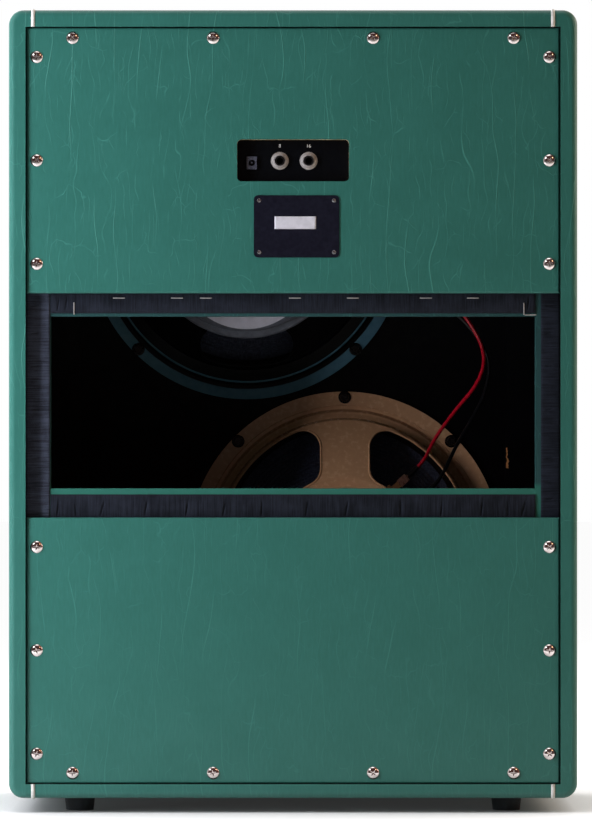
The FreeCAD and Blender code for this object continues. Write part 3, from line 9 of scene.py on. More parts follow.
import bmesh
import bpy
import numpy as np
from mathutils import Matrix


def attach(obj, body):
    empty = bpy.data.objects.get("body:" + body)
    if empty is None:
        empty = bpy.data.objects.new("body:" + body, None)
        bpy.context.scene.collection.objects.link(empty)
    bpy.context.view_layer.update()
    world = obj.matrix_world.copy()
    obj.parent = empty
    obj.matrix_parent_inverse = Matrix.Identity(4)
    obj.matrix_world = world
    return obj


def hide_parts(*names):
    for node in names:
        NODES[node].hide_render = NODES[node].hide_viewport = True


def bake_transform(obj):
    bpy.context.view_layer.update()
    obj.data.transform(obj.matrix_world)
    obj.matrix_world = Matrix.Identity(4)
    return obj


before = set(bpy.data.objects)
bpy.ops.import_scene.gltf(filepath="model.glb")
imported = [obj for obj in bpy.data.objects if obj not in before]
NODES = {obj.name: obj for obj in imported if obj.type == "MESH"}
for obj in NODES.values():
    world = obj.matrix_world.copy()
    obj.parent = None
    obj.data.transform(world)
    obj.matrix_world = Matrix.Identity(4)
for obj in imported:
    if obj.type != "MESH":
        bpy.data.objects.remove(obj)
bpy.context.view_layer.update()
scene = bpy.context.scene


def in_scene(name, data):
    """A new object of the given data, put into the scene."""
    made = bpy.data.objects.new(name, data)
    scene.collection.objects.link(made)
    return made


# %% [markdown]
# ## The camera
# The photograph was taken straight on, from far away, so both back panels look flat and only a little
# of the inside shows. A long lens does the same. The camera could be turned until it fits by eye, but
# four known points of the rim give its place at once: level, a little right of the middle.

# %% Camera
scene.view_settings.view_transform = "Standard"
camera = in_scene("camera", bpy.data.cameras.new("camera"))
camera.location = (0.0028, -5.65, 0.3737)
camera.rotation_euler = (math.pi / 2, 0, 0)
camera.data.lens = 252.6
camera.data.clip_end = 60
scene.camera = camera
print("camera at", tuple(round(value, 4) for value in camera.location), "lens", camera.data.lens)

# %% [markdown]
# ## Speaker wires
# Four insulated wires run from the solder lugs of the jacks to the spade terminals of the speakers. A
# wire could be a chain of cylinders, but it would show its corners. A NURBS curve of order 3 passes
# softly inside its control points, as a stiff wire bends, and a round bevel gives it its thickness.

# %% Wires as curves
WIRE_RADIUS = 0.0018
LUG_LEVEL = 0.60665
LEAD_DEPTHS = (-0.1041, -0.0841)
LOWER_RED = (
    (0.03534, -0.07003, 0.58395), (0.06665, -0.06404, 0.55458), (0.10794, -0.06404, 0.52303),
    (0.14625, -0.06595, 0.49166), (0.17259, -0.05998, 0.45926), (0.18558, -0.04405, 0.4309),
    (0.17844, -0.01999, 0.40457), (0.15691, 0.00596, 0.37913), (0.13622, 0.03305, 0.34976),
    (0.12823, 0.0476, 0.32967), (0.11708, 0.0476, 0.31963),
)
LOWER_BLACK = (
    (0.02141, -0.07305, 0.58301), (0.05075, -0.06598, 0.55163), (0.09007, -0.05997, 0.52115),
    (0.13135, -0.05399, 0.49271), (0.16863, -0.048, 0.46228), (0.18997, -0.03803, 0.42889),
    (0.18645, -0.01599, 0.3965), (0.17196, 0.00796, 0.36817), (0.15637, 0.03301, 0.34083),
    (0.14429, 0.0476, 0.31183), (0.13314, 0.0476, 0.3018),
)
UPPER_RED = (
    (-0.01478, -0.05196, 0.62404), (0.00244, -0.01802, 0.66073), (0.01299, 0.00996, 0.67685),
    (0.01459, 0.03396, 0.67627), (0.00511, 0.0476, 0.65836), (-0.00589, 0.0476, 0.6393),
)
UPPER_BLACK = (
    (-0.00078, -0.05196, 0.61802), (0.02052, -0.01803, 0.64878), (0.03293, 0.00996, 0.66489),
    (0.03559, 0.03404, 0.66427), (0.02589, 0.0476, 0.64636), (0.01489, 0.0476, 0.6273),
)


def wire_curve(name, points):
    """A round wire along a NURBS line of order 3 that has the given points as its control points. Each
    point carries the wire's radius, so that the bevel itself is 1."""
    line = bpy.data.curves.new(name, "CURVE")
    line.dimensions = "3D"
    spline = line.splines.new("NURBS")
    spline.points.add(len(points) - 1)
    spline.points.foreach_set("co", np.c_[np.array(points), np.ones(len(points))].ravel())
    spline.points.foreach_set("radius", np.full(len(points), WIRE_RADIUS))
    spline.order_u = 3
    spline.use_endpoint_u = True
    spline.resolution_u = 8
    line.bevel_depth = 1.0
    line.bevel_resolution = 4
    line.use_fill_caps = True
    wire = in_scene(name, line)
    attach(wire, "cabinet")
    return wire


wires = {}
for name, lug, bends, node, length in (
    ("wire_lower_red", 0.0197, LOWER_RED, "lower_red_wire", 0.43),
    ("wire_lower_black", 0.0097, LOWER_BLACK, "lower_black_wire", 0.44),
    ("wire_upper_red", -0.0175, UPPER_RED, "upper_wires", 0.205),
    ("wire_upper_black", -0.0075, UPPER_BLACK, "upper_wires", 0.2),
):
    points = [(lug, depth, LUG_LEVEL) for depth in LEAD_DEPTHS] + list(bends)
    wires[name] = wire_curve(name, points)
    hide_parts(node)
print("wires:", list(wires))

# %% [markdown]
# ## Surfaces from arrays
# Most small pieces here are a grid of points bent into shape: a profile turned round an axis, or a ring
# carried along a line. Each could be modelled by hand, but as a formula it stays exact and is easily
# changed. A shape is a pair of points and faces: helpers make one of a grid, join several into one, and
# make a piece of the cabinet from it.

# %% Grids and meshes
MERGE_WITHIN = 1e-6


def grid_faces(rows, columns, wrap=False):
    """Quads between the neighbours of a grid of points; wrap joins its last column to its first."""
    index = np.arange(rows * columns).reshape(rows, columns)
    if wrap:
        index = np.c_[index, index[:, :1]]
    corners = (index[:-1, :-1], index[:-1, 1:], index[1:, 1:], index[1:, :-1])
    return np.stack(corners, axis=-1).reshape(-1, 4)


def skin(rings):
    """The shape of a grid whose columns close round."""
    return rings.reshape(-1, 3), grid_faces(*rings.shape[:2], wrap=True)


def joined(shapes):
    """Several shapes as one: the faces of each count on from the points of those before it."""
    counts = np.cumsum([0] + [len(points) for points, _ in shapes])
    all_faces = [faces + start for (_, faces), start in zip(shapes, counts)]
    return np.vstack([points for points, _ in shapes]), np.vstack(all_faces)


def stamped(shape, spots):
    """The same shape at several spots: every spot is added to all its points."""
    points, faces = shape
    return joined([(points + spot, faces) for spot in spots])


def mesh_of(curve):
    """The mesh that a curve or a text makes, and its points. The curve is used up."""
    holder = bpy.data.objects.new("holder", curve)
    mesh = bpy.data.meshes.new_from_object(holder)
    points = np.zeros(len(mesh.vertices) * 3)
    mesh.vertices.foreach_get("co", points)
    bpy.data.objects.remove(holder)
    bpy.data.curves.remove(curve)
    return mesh, points.reshape(-1, 3)


def add_piece(name, points, faces, slot, uv=None, fixed=True):
    """A mesh object of points and faces, its doubles merged and its faces turned outwards. A fixed piece
    rides on the cabinet."""
    mesh = bpy.data.meshes.new(name)
    mesh.from_pydata(points.tolist(), [], faces.tolist())
    if uv is not None:
        corners = np.array([loop.vertex_index for loop in mesh.loops])
        mesh.uv_layers.new(name="flat").data.foreach_set("uv", uv[corners].ravel())
    work = bmesh.new()
    work.from_mesh(mesh)
    bmesh.ops.remove_doubles(work, verts=work.verts, dist=MERGE_WITHIN)
    bmesh.ops.recalc_face_normals(work, faces=work.faces)
    work.to_mesh(mesh)
    work.free()
    mesh.polygons.foreach_set("use_smooth", np.full(len(mesh.polygons), True))
    mesh.update()
    piece = in_scene(name, mesh)
    if fixed:
        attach(piece, "cabinet")
    return piece


print("a 3 by 4 grid has", len(grid_faces(3, 4)), "quads")

# %% [markdown]
# ## Tubes and turned shapes
# Two kinds of grid serve again and again: rings carried along a path, for sleeves, staples and lips, and a
# profile turned about an axis, for screws and washers. Blender's bevel and its Screw modifier could make
# both, but points in an array can still be changed before they become a mesh.

# %% Rings along a path, profiles round an axis
# A direction that no path here runs along, to start the rings of a tube from.
ASKEW = np.array([0.31, 0.87, 0.38])


def tube_along(path, radii, sides=16):
    """A ring of the given radius at each point of a path, square to the path, as a grid of points."""
    ahead = np.gradient(path, axis=0)
    ahead /= np.linalg.norm(ahead, axis=1, keepdims=True)
    first = np.cross(ahead, ASKEW)
    first /= np.linalg.norm(first, axis=1, keepdims=True)
    second = np.cross(ahead, first)
    turn = np.linspace(0, 2 * np.pi, sides, endpoint=False)
    ring = first[:, None] * np.cos(turn)[:, None] + second[:, None] * np.sin(turn)[:, None]
    return path[:, None] + ring * np.asarray(radii, float)[:, None, None]


def turned(profile, sides):
    """A profile of (radius, along) pairs turned about the Y axis, as a grid of points."""
    turn = np.linspace(0, 2 * np.pi, sides, endpoint=False)
    radius, along = np.asarray(profile, float).T
    across = radius[:, None] * np.cos(turn)
    up = radius[:, None] * np.sin(turn)
    return np.stack([across, np.broadcast_to(along[:, None], across.shape), up], axis=-1)


print("a disc of 8 sides is a grid of", turned(((0, 0), (1, 0)), 8).shape)

# %% [markdown]
# ## Shrink sleeves
# A short black sleeve is shrunk over the end of each wire and the barrel of its spade terminal. It could
# be a straight tube, but the wire still bends there, so the sleeve follows the last points of the
# wire's own curve and then runs on along the barrel.

# %% Sleeves on the wires
SLEEVE_ON_WIRE = 0.009
BARREL_LENGTH = 0.008
SLEEVE_RADIUS = 0.00255
GRIP_RADIUS = 0.0019
GRIP_SHARES = (0.12, 0.06)


def centre_line(wire):
    """The points of a wire's smooth line, read from its curve without the bevel."""
    plain = wire.data.copy()
    plain.bevel_depth = 0
    mesh, points = mesh_of(plain)
    bpy.data.meshes.remove(mesh)
    return points


def shrink_sleeve(name, line):
    """A tube over the end of a line and straight on, narrow where it grips the wire."""
    end = line[-1]
    ahead = (end - line[-2]) / np.linalg.norm(end - line[-2])
    last = line[np.linalg.norm(line - end, axis=1) < SLEEVE_ON_WIRE][:-1]
    steps = np.linspace(0.0005, BARREL_LENGTH, 8)[:, None]
    path = np.vstack([last, end + steps * ahead])
    share = np.linspace(0, 1, len(path))
    grip = np.clip(share / GRIP_SHARES[0], 0, 1) * np.clip((1 - share) / GRIP_SHARES[1], 0, 1)
    radii = GRIP_RADIUS + (SLEEVE_RADIUS - GRIP_RADIUS) * np.sqrt(grip)
    return add_piece(name, *skin(tube_along(path, radii)), "black_insulation")


sleeves = [shrink_sleeve(name.replace("wire", "sleeve"), centre_line(wire)) for name, wire in wires.items()]
print("sleeves:", [piece.name for piece in sleeves])

# %% [markdown]
# ## Panel screws
# Twenty domed screws hold the back panels. Their heads could be half balls, but a real head is a flat
# cap with a cross sunk into it, and its mirror finish makes the sunk cross the darkest spot on the
# panel. The head is a height over a polar grid: a ball's cap minus two crossed troughs.

# %% Screws with cross recesses
HEAD_RADIUS = 0.006
DOME = 0.0028
SHANK_RADIUS = 0.002
SHANK_LENGTH = 0.028
SHANK_LINE = (
    (HEAD_RADIUS, 0),
    (SHANK_RADIUS, 0),
    (SHANK_RADIUS, SHANK_LENGTH - SHANK_RADIUS),
    (0, SHANK_LENGTH),
)
CROSS_REACH = 0.0031
CROSS_HALF_WIDTH = 0.00052
CROSS_DEPTH = 0.0016
CROSS_WALL = 0.00022
LEAST_WIDTH = 0.00008
PANEL_FACE = -0.147


def cross_screw(sides=64, rings=30):
    """A screw along Y: a cap of a ball, less two troughs that grow shallow outwards, then its shank."""
    radius = HEAD_RADIUS * np.linspace(0, 1, rings) ** 0.8
    head = turned(np.c_[radius, np.zeros(rings)], sides)
    ball = (HEAD_RADIUS**2 + DOME**2) / (2 * DOME)
    cap = np.sqrt(ball**2 - radius**2)[:, None] - (ball - DOME)
    trough = np.abs(head[..., [0, 2]]).min(axis=-1)
    width = CROSS_HALF_WIDTH * np.clip(1.15 - radius / CROSS_REACH, 0, 1)[:, None]
    wall = np.clip((width - trough) / CROSS_WALL + 0.5, 0, 1) * (width > LEAST_WIDTH)
    deep = wall * CROSS_DEPTH * np.clip(1 - radius / CROSS_REACH, 0, 1)[:, None] ** 0.6
    head[..., 1] = deep - cap
    return skin(np.vstack([head, turned(SHANK_LINE, sides)]))


def spun(points, angle):
    """Points turned about the Y axis."""
    across, along, up = points.T
    cos = math.cos(angle)
    sin = math.sin(angle)
    return np.stack([cos * across - sin * up, along, sin * across + cos * up], axis=-1)


SCREW_SPOTS = [
    (side * 0.2418, PANEL_FACE, middle + step * 0.0975)
    for middle in (0.61465, 0.15265)
    for side in (-1, 1)
    for step in (-1, 0, 1)
]
SCREW_SPOTS += [
    (side * across, PANEL_FACE, level)
    for level in (0.7302, 0.0371)
    for across in (0.208, 0.07545)
    for side in (-1, 1)
]
screw_points, screw_faces = cross_screw()
angles = np.random.default_rng(4).uniform(0, np.pi / 2, len(SCREW_SPOTS))
screws = [(spun(screw_points, angle) + spot, screw_faces) for angle, spot in zip(angles, SCREW_SPOTS)]
panel_screws = add_piece("cross_head_screws", *joined(screws), "chrome_screws")
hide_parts("panel_screws")
print("screws:", len(SCREW_SPOTS), "faces:", len(panel_screws.data.polygons))

# %% [markdown]
# ## Staples
# The covering and the seal strip of the upper brace are stapled on. A staple could be a flat bar, but it
# is a wire: its crown lies on the strip and its legs go into the wood. A ring carried along a rounded
# U gives that.

# %% Staples on the upper brace
STRIP_FACE = -0.1371
WRAP_FACE = -0.1356
STAPLE_WIRE = 0.00055
STAPLE_LEG = 0.004
STAPLE_WIDTH = 0.0108
STAPLE_BEND = 0.001


def staple(upright):
    """A wire bent into a U: its crown stands half proud of Y = 0 and its two legs run to +Y."""
    turn = np.linspace(0, np.pi / 2, 7)
    half = STAPLE_WIDTH / 2
    corner_x = half - STAPLE_BEND + STAPLE_BEND * np.sin(turn)
    corner_y = STAPLE_BEND - STAPLE_BEND * np.cos(turn)
    right_x = np.r_[corner_x, half]
    right_y = np.r_[corner_y, STAPLE_LEG]
    along = np.r_[-right_x[::-1], right_x]
    deep = np.r_[right_y[::-1], right_y] - STAPLE_WIRE * 0.6
    flat = np.zeros_like(along)
    path = np.stack([flat, deep, along] if upright else [along, deep, flat], axis=-1)
    return skin(tube_along(path, np.full(len(path), STAPLE_WIRE), 10))


LEVEL_SPOTS = [
    (across, STRIP_FACE, 0.4851) for across in (-0.1643, -0.1096, -0.0822, 0.0019, 0.0566, 0.1255, 0.1699)
]
LEVEL_SPOTS.append((0.2243, WRAP_FACE, 0.4692))
UPRIGHT_SPOTS = [(-0.2068, STRIP_FACE, 0.4753), (0.2181, STRIP_FACE, 0.475)]
staple_rows = [stamped(staple(False), LEVEL_SPOTS), stamped(staple(True), UPRIGHT_SPOTS)]
staples = add_piece("staples", *joined(staple_rows), "zinc_screws")
print("staples:", len(LEVEL_SPOTS) + len(UPRIGHT_SPOTS), "faces:", len(staples.data.polygons))

# %% [markdown]
# ## Seal strips
# Strips of thick black loop cloth lie on the cleats and braces, so that the back panels do not buzz.
# Where they were pulled tight they have opened in short slits. The strips could be plain boxes with
# painted lines, but at this size a slit throws a shadow. So the face of each strip is a grid that rolls
# back at its edges and sinks in a narrow valley along each slit.

# %% Strips of loop cloth with slits
STRIP_THICK = 0.0015
ROLL_DEPTH = 0.0006
ROLL_REACH = 0.0008
SLIT_DEPTH = 0.0011
SLIT_HALF_WIDTH = 0.0007
SLIT_TAPER = 0.002
LEAST_LEFT = 0.0002


def seal_strip(name, low, high, slits, spacing=0.0006):
    """A strip between two corners of the X-Z plane: a flat face less a decaying roll at its edges, less
    a bell-shaped valley along each slit of (place along, start across, end across, slant)."""
    size = np.array(high) - low
    tall = size[1] > size[0]
    length, width = max(size), min(size)
    along = np.linspace(0, length, int(length / spacing))
    over = np.linspace(0, width, 18)
    u, v = np.meshgrid(along, over, indexing="ij")
    edge = np.minimum(np.minimum(u, length - u), np.minimum(v, width - v))
    sunk = ROLL_DEPTH * np.exp(-edge / ROLL_REACH)
    for place, start, end, slant in slits:
        off = u - place - slant * (v - (start + end) / 2)
        ends = np.clip((v - start) / SLIT_TAPER, 0, 1) * np.clip((end - v) / SLIT_TAPER, 0, 1)
        sunk = sunk + SLIT_DEPTH * np.exp(-((off / SLIT_HALF_WIDTH) ** 2)) * ends
    face = STRIP_FACE + np.minimum(sunk, STRIP_THICK - LEAST_LEFT)
    back = np.full((len(along), 1), STRIP_FACE + STRIP_THICK)
    deep = np.hstack([face, back, back])
    v_loop = np.hstack([v, np.full_like(back, width), np.zeros_like(back)])
    u_loop = np.broadcast_to(along[:, None], deep.shape)
    first, second = (v_loop, u_loop) if tall else (u_loop, v_loop)
    rings = np.stack([low[0] + first, deep, low[1] + second], axis=-1)
    ends = rings[[0, -1]].mean(axis=1, keepdims=True) + np.zeros((1, rings.shape[1], 1))
    rings = np.concatenate([ends[:1], rings, ends[1:]])
    strip = add_piece(name, *skin(rings), "seal_cloth")
    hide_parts("seal_strips")
    return strip


BRACE_LEFT = -0.2291
LOWER_SLITS = [
    (across - BRACE_LEFT, 0.0195, 0.0335, slant)
    for across, slant in (
        (-0.222, 0.1), (-0.2055, -0.2), (-0.1799, 0.3), (-0.1389, 0.2), (-0.1001, 0.15),
        (-0.0647, 0.2), (-0.0293, 0.05), (0.0132, 0.15), (0.0508, 0.2), (0.1017, 0.0),
        (0.1405, 0.1), (0.1784, 0.1), (0.2029, 0.0), (0.2181, 0.3),
    )
]
UPPER_SLITS = [(across - BRACE_LEFT, 0.003, 0.016, 0.15) for across in (-0.2215, -0.2140, 0.2222)]
SIDE_FLOOR = 0.0268
SIDE_ROOF = 0.7405
SIDE_SLITS = [
    (level - SIDE_FLOOR, 0.004, 0.012, 0.1) for level in (0.295, 0.334, 0.38, 0.421, 0.452, 0.478)
]
strips = [
    seal_strip("seal_left", (-0.2521, SIDE_FLOOR), (-0.2297, SIDE_ROOF), SIDE_SLITS),
    seal_strip("seal_right", (0.2341, SIDE_FLOOR), (0.2521, SIDE_ROOF), SIDE_SLITS),
    seal_strip("seal_top", (BRACE_LEFT, 0.7185), (-BRACE_LEFT, SIDE_ROOF), (), 0.004),
    seal_strip("seal_bottom", (BRACE_LEFT, SIDE_FLOOR), (-BRACE_LEFT, 0.0488), (), 0.004),
    seal_strip("seal_upper_brace", (BRACE_LEFT, 0.4707), (-BRACE_LEFT, 0.5074), UPPER_SLITS),
    seal_strip("seal_lower_brace", (BRACE_LEFT, 0.2599), (-BRACE_LEFT, 0.2996), LOWER_SLITS),
]
print("strips:", len(strips))

# %% [markdown]
# ## Grille cloth
# The front is one sheet of woven cloth, pulled over the edges of a frame and fixed behind them. A flat
# plane would do from the front, but from the side its edge would be missing. Here a flat sheet is
# bent: each coordinate runs straight until it meets the frame's edge, and what is left goes round it.

# %% Cloth over the grille frame
GRILLE_HALF = 0.2506
GRILLE_LOW = 0.0283
GRILLE_HIGH = 0.739
CLOTH_FRONT = 0.1428
CLOTH_WRAP = 0.008
EDGE_BEND = 0.0015
CLOTH_SAG = 0.0007
SAG_HALVES = (0.22, 0.32)
CLOTH_THICK = 0.0006


def over_edge(flat, half):
    """Where a point of a flat strip comes to lie: (along, back), straight up to a bend round the edge."""
    past = np.clip(np.abs(flat) - (half - EDGE_BEND), 0, None)
    turn = np.clip(past / EDGE_BEND, 0, np.pi / 2)
    rest = past - turn * EDGE_BEND
    along = np.minimum(np.abs(flat), half - EDGE_BEND) + EDGE_BEND * np.sin(turn)
    return np.sign(flat) * along, EDGE_BEND * (1 - np.cos(turn)) + rest


def cloth_line(half):
    """Positions along a flat strip, close together where it bends round an edge."""
    bend = np.linspace(half - 0.004, half + CLOTH_WRAP, 18)
    return np.r_[-bend[::-1], np.linspace(-half + 0.006, half - 0.006, 48), bend]


grille_half_height = (GRILLE_HIGH - GRILLE_LOW) / 2
flat_x, flat_z = np.meshgrid(cloth_line(GRILLE_HALF), cloth_line(grille_half_height), indexing="ij")
cloth_x, back_x = over_edge(flat_x, GRILLE_HALF)
cloth_z, back_z = over_edge(flat_z, grille_half_height)
pulled_in = CLOTH_SAG * np.cos(np.clip(flat_x / SAG_HALVES[0], -1, 1) * np.pi / 2)
pulled_in = pulled_in * np.cos(np.clip(flat_z / SAG_HALVES[1], -1, 1) * np.pi / 2)
cloth_y = CLOTH_FRONT - np.maximum(back_x, back_z) - pulled_in
cloth_points = np.stack([cloth_x, cloth_y, cloth_z + GRILLE_LOW + grille_half_height], axis=-1)
grille = add_piece(
    "grille_weave",
    cloth_points.reshape(-1, 3),
    grid_faces(*flat_x.shape),
    "grille_cloth",
    uv=np.stack([flat_x, flat_z], axis=-1).reshape(-1, 2),
)
thickness = grille.modifiers.new("thickness", "SOLIDIFY")
thickness.thickness = CLOTH_THICK
thickness.offset = -1
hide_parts("grille_cloth")
print("grille cloth points:", len(grille.data.vertices))

# %% [markdown]
# ## Surrounds and spiders
# Each cone hangs in two cloth rings: a surround with two rolls at its rim and a waved spider at its
# neck. When the cone moves, a ring's outer edge stays and its inner edge goes along. One ring cannot
# be told to do that, because a blend runs along a straight line. Here each ring is made of twelve
# short sectors about the speaker's axis, and neighbours meet in the same place.

# %% Soft rings in sectors
BAFFLE_REAR = 0.112
SPEAKERS = {"upper": (-0.0455, 0.5467), "lower": (0.0508, 0.2438)}
SECTORS = 12
RING_SHEET = 0.0006
CONE_EDGE = 0.0031
RIM = 0.002
ROLL_HEIGHT = 0.0018
NECK = 0.06
WAVE_HEIGHT = 0.00095
share = np.linspace(0, 1, 49)
rolls = ROLL_HEIGHT * np.abs(np.sin(2 * np.pi * share))
roll_depth = CONE_EDGE * (1 - share) + RIM * share - rolls
SURROUND_LINE = np.r_[
    [(0.11215, CONE_EDGE)], np.c_[0.118 + 0.01 * share, roll_depth], [(0.132, RIM), (0.136, RIM)]
]
wave_depth = NECK - WAVE_HEIGHT * (1 - np.cos(8 * np.pi * share))
SPIDER_LINE = np.r_[np.c_[0.0256 + 0.0349 * share, wave_depth], [(0.0645, NECK), (0.0685, NECK)]]


def ring_sector(name, line, middle, turn, slot):
    """A sector of a thin ring: a line of (radius, depth) and its copy one sheet further forward, swept
    through an angle about the speaker's axis and closed at both ends."""
    rear = np.c_[line[:, 0], BAFFLE_REAR - line[:, 1]]
    loop = np.vstack([rear, (rear + (0, RING_SHEET))[::-1]])
    angle = turn + np.linspace(-0.5, 0.5, 13) * 2 * np.pi / SECTORS
    across = middle[0] + loop[:, 0] * np.cos(angle)[:, None]
    up = middle[1] + loop[:, 0] * np.sin(angle)[:, None]
    rings = np.stack([across, np.broadcast_to(loop[:, 1], across.shape), up], axis=-1)
    count = len(loop)
    step = np.arange(len(line) - 1)
    cap = np.stack([step, step + 1, count - 2 - step, count - 1 - step], axis=-1)
    faces = np.vstack([grid_faces(*rings.shape[:2], wrap=True), cap, cap + (len(angle) - 1) * count])
    piece = add_piece(name, rings.reshape(-1, 3), faces, slot, fixed=False)
    on_side = np.arange(len(faces)) < len(faces) - 2 * len(cap)
    piece.data.polygons.foreach_set("use_smooth", on_side)
    return piece


rings = {"surround": [], "spider": []}
for speaker, middle in SPEAKERS.items():
    for ring, line, slot, outer, inner in (
        ("surround", SURROUND_LINE, "treated_cloth", 0.129, 0.1165),
        ("spider", SPIDER_LINE, "spider_cloth", 0.0605, 0.0262),
    ):
        for sector in range(SECTORS):
            turn = 2 * math.pi * (sector + 0.5) / SECTORS
            piece = ring_sector(f"{speaker}_{ring}_{sector + 1}", line, middle, turn, slot)
            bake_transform(piece)
            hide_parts(f"{speaker}_{ring}")
            rings[ring].append(piece)
print("ring sectors:", {ring: len(pieces) for ring, pieces in rings.items()})

# %% [markdown]
# ## Rolled edges of the baskets
# A basket is pressed from sheet steel, and the edges of its windows are rolled, so that they neither cut
# nor ring. A bevel would do that on a model of one's own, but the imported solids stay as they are. So a
# thin tube is carried round each window: straight beside the spokes, round about the axis, with an arc
# at each corner, all on the slope of the basket.

# %% Lips of the basket windows
WINDOW_OUTER = 0.124
WINDOW_INNER = 0.0715
WINDOW_CORNER = 0.017
LIP_RADIUS = 0.0011
SLOPE_OUTER = 0.126
SLOPE_DEPTHS = (0.024, 0.061)


def arc(middle, radius, start, end, count):
    """Points on a circle, from one angle to another in degrees, without the last one."""
    angle = np.radians(np.linspace(start, end, count + 1)[:-1])
    return np.array(middle) + radius * np.stack([np.cos(angle), np.sin(angle)], axis=-1)


def window_outline(half_spoke):
    """The window between two spokes, clockwise: a corner is an arc about a point that lies one corner
    radius inside both of its edges."""
    inset = half_spoke + WINDOW_CORNER
    high = math.sqrt((WINDOW_OUTER - WINDOW_CORNER) ** 2 - inset**2)
    low = math.sqrt((WINDOW_INNER + WINDOW_CORNER) ** 2 - inset**2)
    out = math.degrees(math.atan2(high, inset))
    into = math.degrees(math.atan2(low, inset))
    return np.vstack(
        [
            arc((inset, high), WINDOW_CORNER, 180, out, 14),
            arc((0, 0), WINDOW_OUTER, out, 90 - out, 40),
            arc((high, inset), WINDOW_CORNER, 90 - out, -90, 14),
            arc((low, inset), WINDOW_CORNER, -90, -90 - into, 10),
            arc((0, 0), WINDOW_INNER, 90 - into, into, 24),
            arc((inset, low), WINDOW_CORNER, into - 180, -180, 10),
        ]
    )


def window_lips(name, middle, half_spoke, turn, slot):
    """Tubes round the four windows. The depth grows evenly from the outer edge to the inner edge."""
    outline = window_outline(half_spoke)
    outline = np.vstack([outline[-2:], outline, outline[:3]])
    radius = np.linalg.norm(outline, axis=1)
    fall = (SLOPE_DEPTHS[1] - SLOPE_DEPTHS[0]) / (SLOPE_OUTER - WINDOW_INNER)
    depth = SLOPE_DEPTHS[0] + (SLOPE_OUTER - radius) * fall
    tubes = []
    for quarter in range(4):
        angle = math.radians(turn + 90 * quarter)
        across = outline @ (math.cos(angle), -math.sin(angle)) + middle[0]
        up = outline @ (math.sin(angle), math.cos(angle)) + middle[1]
        path = np.stack([across, BAFFLE_REAR - depth, up], axis=-1)
        tubes.append(skin(tube_along(path, np.full(len(path), LIP_RADIUS), 12)[2:-2]))
    return add_piece(name, *joined(tubes), slot)


lips = [
    window_lips("upper_window_lips", SPEAKERS["upper"], 0.035, 45, "blue_grey_steel"),
    window_lips("lower_window_lips", SPEAKERS["lower"], 0.0235, 0, "tan_steel"),
]
print("lips:", [piece.name for piece in lips])

# %% [markdown]
# ## Washers of the speaker bolts
# Under each black bolt lies a black washer that is wider than the bolt's head, and on the upper speaker it
# covers the whole width of the flange. Their black stands partly for the shadow round each bolt head:
# partly painted shadow. One small turned ring, stamped at every bolt, makes them all.

# %% Black washers
FLANGE_REAR = 0.107
WASHER_BORE = 0.003
WASHER_RADIUS = 0.0063
WASHER_THICK = 0.0008
WASHER_LINE = (
    (WASHER_BORE, 0),
    (WASHER_BORE, -WASHER_THICK),
    (WASHER_RADIUS - WASHER_THICK / 2, -WASHER_THICK),
    (WASHER_RADIUS, -WASHER_THICK / 2),
    (WASHER_RADIUS, 0),
    (WASHER_BORE, 0),
)
WASHER_SPOTS = [
    (
        SPEAKERS[speaker][0] + circle * math.cos(angle),
        FLANGE_REAR,
        SPEAKERS[speaker][1] + circle * math.sin(angle),
    )
    for speaker, count, first, circle in (("upper", 4, 45, 0.1515), ("lower", 8, 0, 0.1485))
    for angle in np.radians(first + 360 / count * np.arange(count))
]
washer = skin(turned(WASHER_LINE, 40))
# Partly painted shadow: the wide black rings also stand for the shadow round each bolt head.
washers = add_piece("bolt_washers", *stamped(washer, WASHER_SPOTS), "black_screws")
print("washers:", len(WASHER_SPOTS), "faces:", len(washers.data.polygons))

# %% [markdown]
# ## Sticker and numerals
# The rating plate carries a paper sticker, and a number over each jack gives its load in ohms. The print
# of the plate itself is left off. The sticker is a thin grid with one corner a little lifted. A number
# is Blender's text, made a mesh and turned to face the back before it gets its place.

# %% A blank sticker and two numbers
PLATE_FACE = -0.1478
PAPER = 0.00012
CORNER_LIFT = 0.0004
PAPER_GAP = 0.00002
NUMERAL_HEIGHT = 0.0046
NUMERAL_THICK = 0.00004
JACK_PLATE_FACE = -0.13715
NUMERAL_LEVEL = 0.6272


def sticker(name, low, high):
    """A thin rectangle whose upper right corner lifts with the fourth power of the way to it."""
    share_x, share_z = np.mgrid[0:1:25j, 0:1:13j]
    front = PLATE_FACE - PAPER - (CORNER_LIFT * (share_x * share_z) ** 4 + PAPER_GAP)
    span = np.array(high) - low
    flat = np.stack([low[0] + span[0] * share_x, front, low[1] + span[1] * share_z], axis=-1)
    piece = add_piece(name, flat.reshape(-1, 3), grid_faces(*share_x.shape), "pale_label")
    paper = piece.modifiers.new("paper", "SOLIDIFY")
    paper.thickness = PAPER
    return piece


def numeral(name, text, height, middle):
    """A text as flat mesh: x to the right and y upwards become X and Z, facing the back."""
    font = bpy.data.curves.new(name, "FONT")
    font.body = text
    font.size = height
    font.align_x = "CENTER"
    font.extrude = NUMERAL_THICK
    mesh, points = mesh_of(font)
    faced = np.stack([points[:, 0], -points[:, 2], points[:, 1]], axis=-1) + middle
    mesh.vertices.foreach_set("co", faced.ravel())
    mesh.update()
    mesh.name = name
    piece = in_scene(name, mesh)
    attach(piece, "cabinet")
    return piece


blank_sticker = sticker("blank_sticker", (-0.0174, 0.5499), (0.0217, 0.5618))
numerals = [
    numeral(name, text, NUMERAL_HEIGHT, (across, JACK_PLATE_FACE, NUMERAL_LEVEL))
    for name, text, across in (("numeral_eight", "8", -0.0125), ("numeral_sixteen", "16", 0.0147))
]
print("laid on the plates:", [piece.name for piece in (blank_sticker, *numerals)])

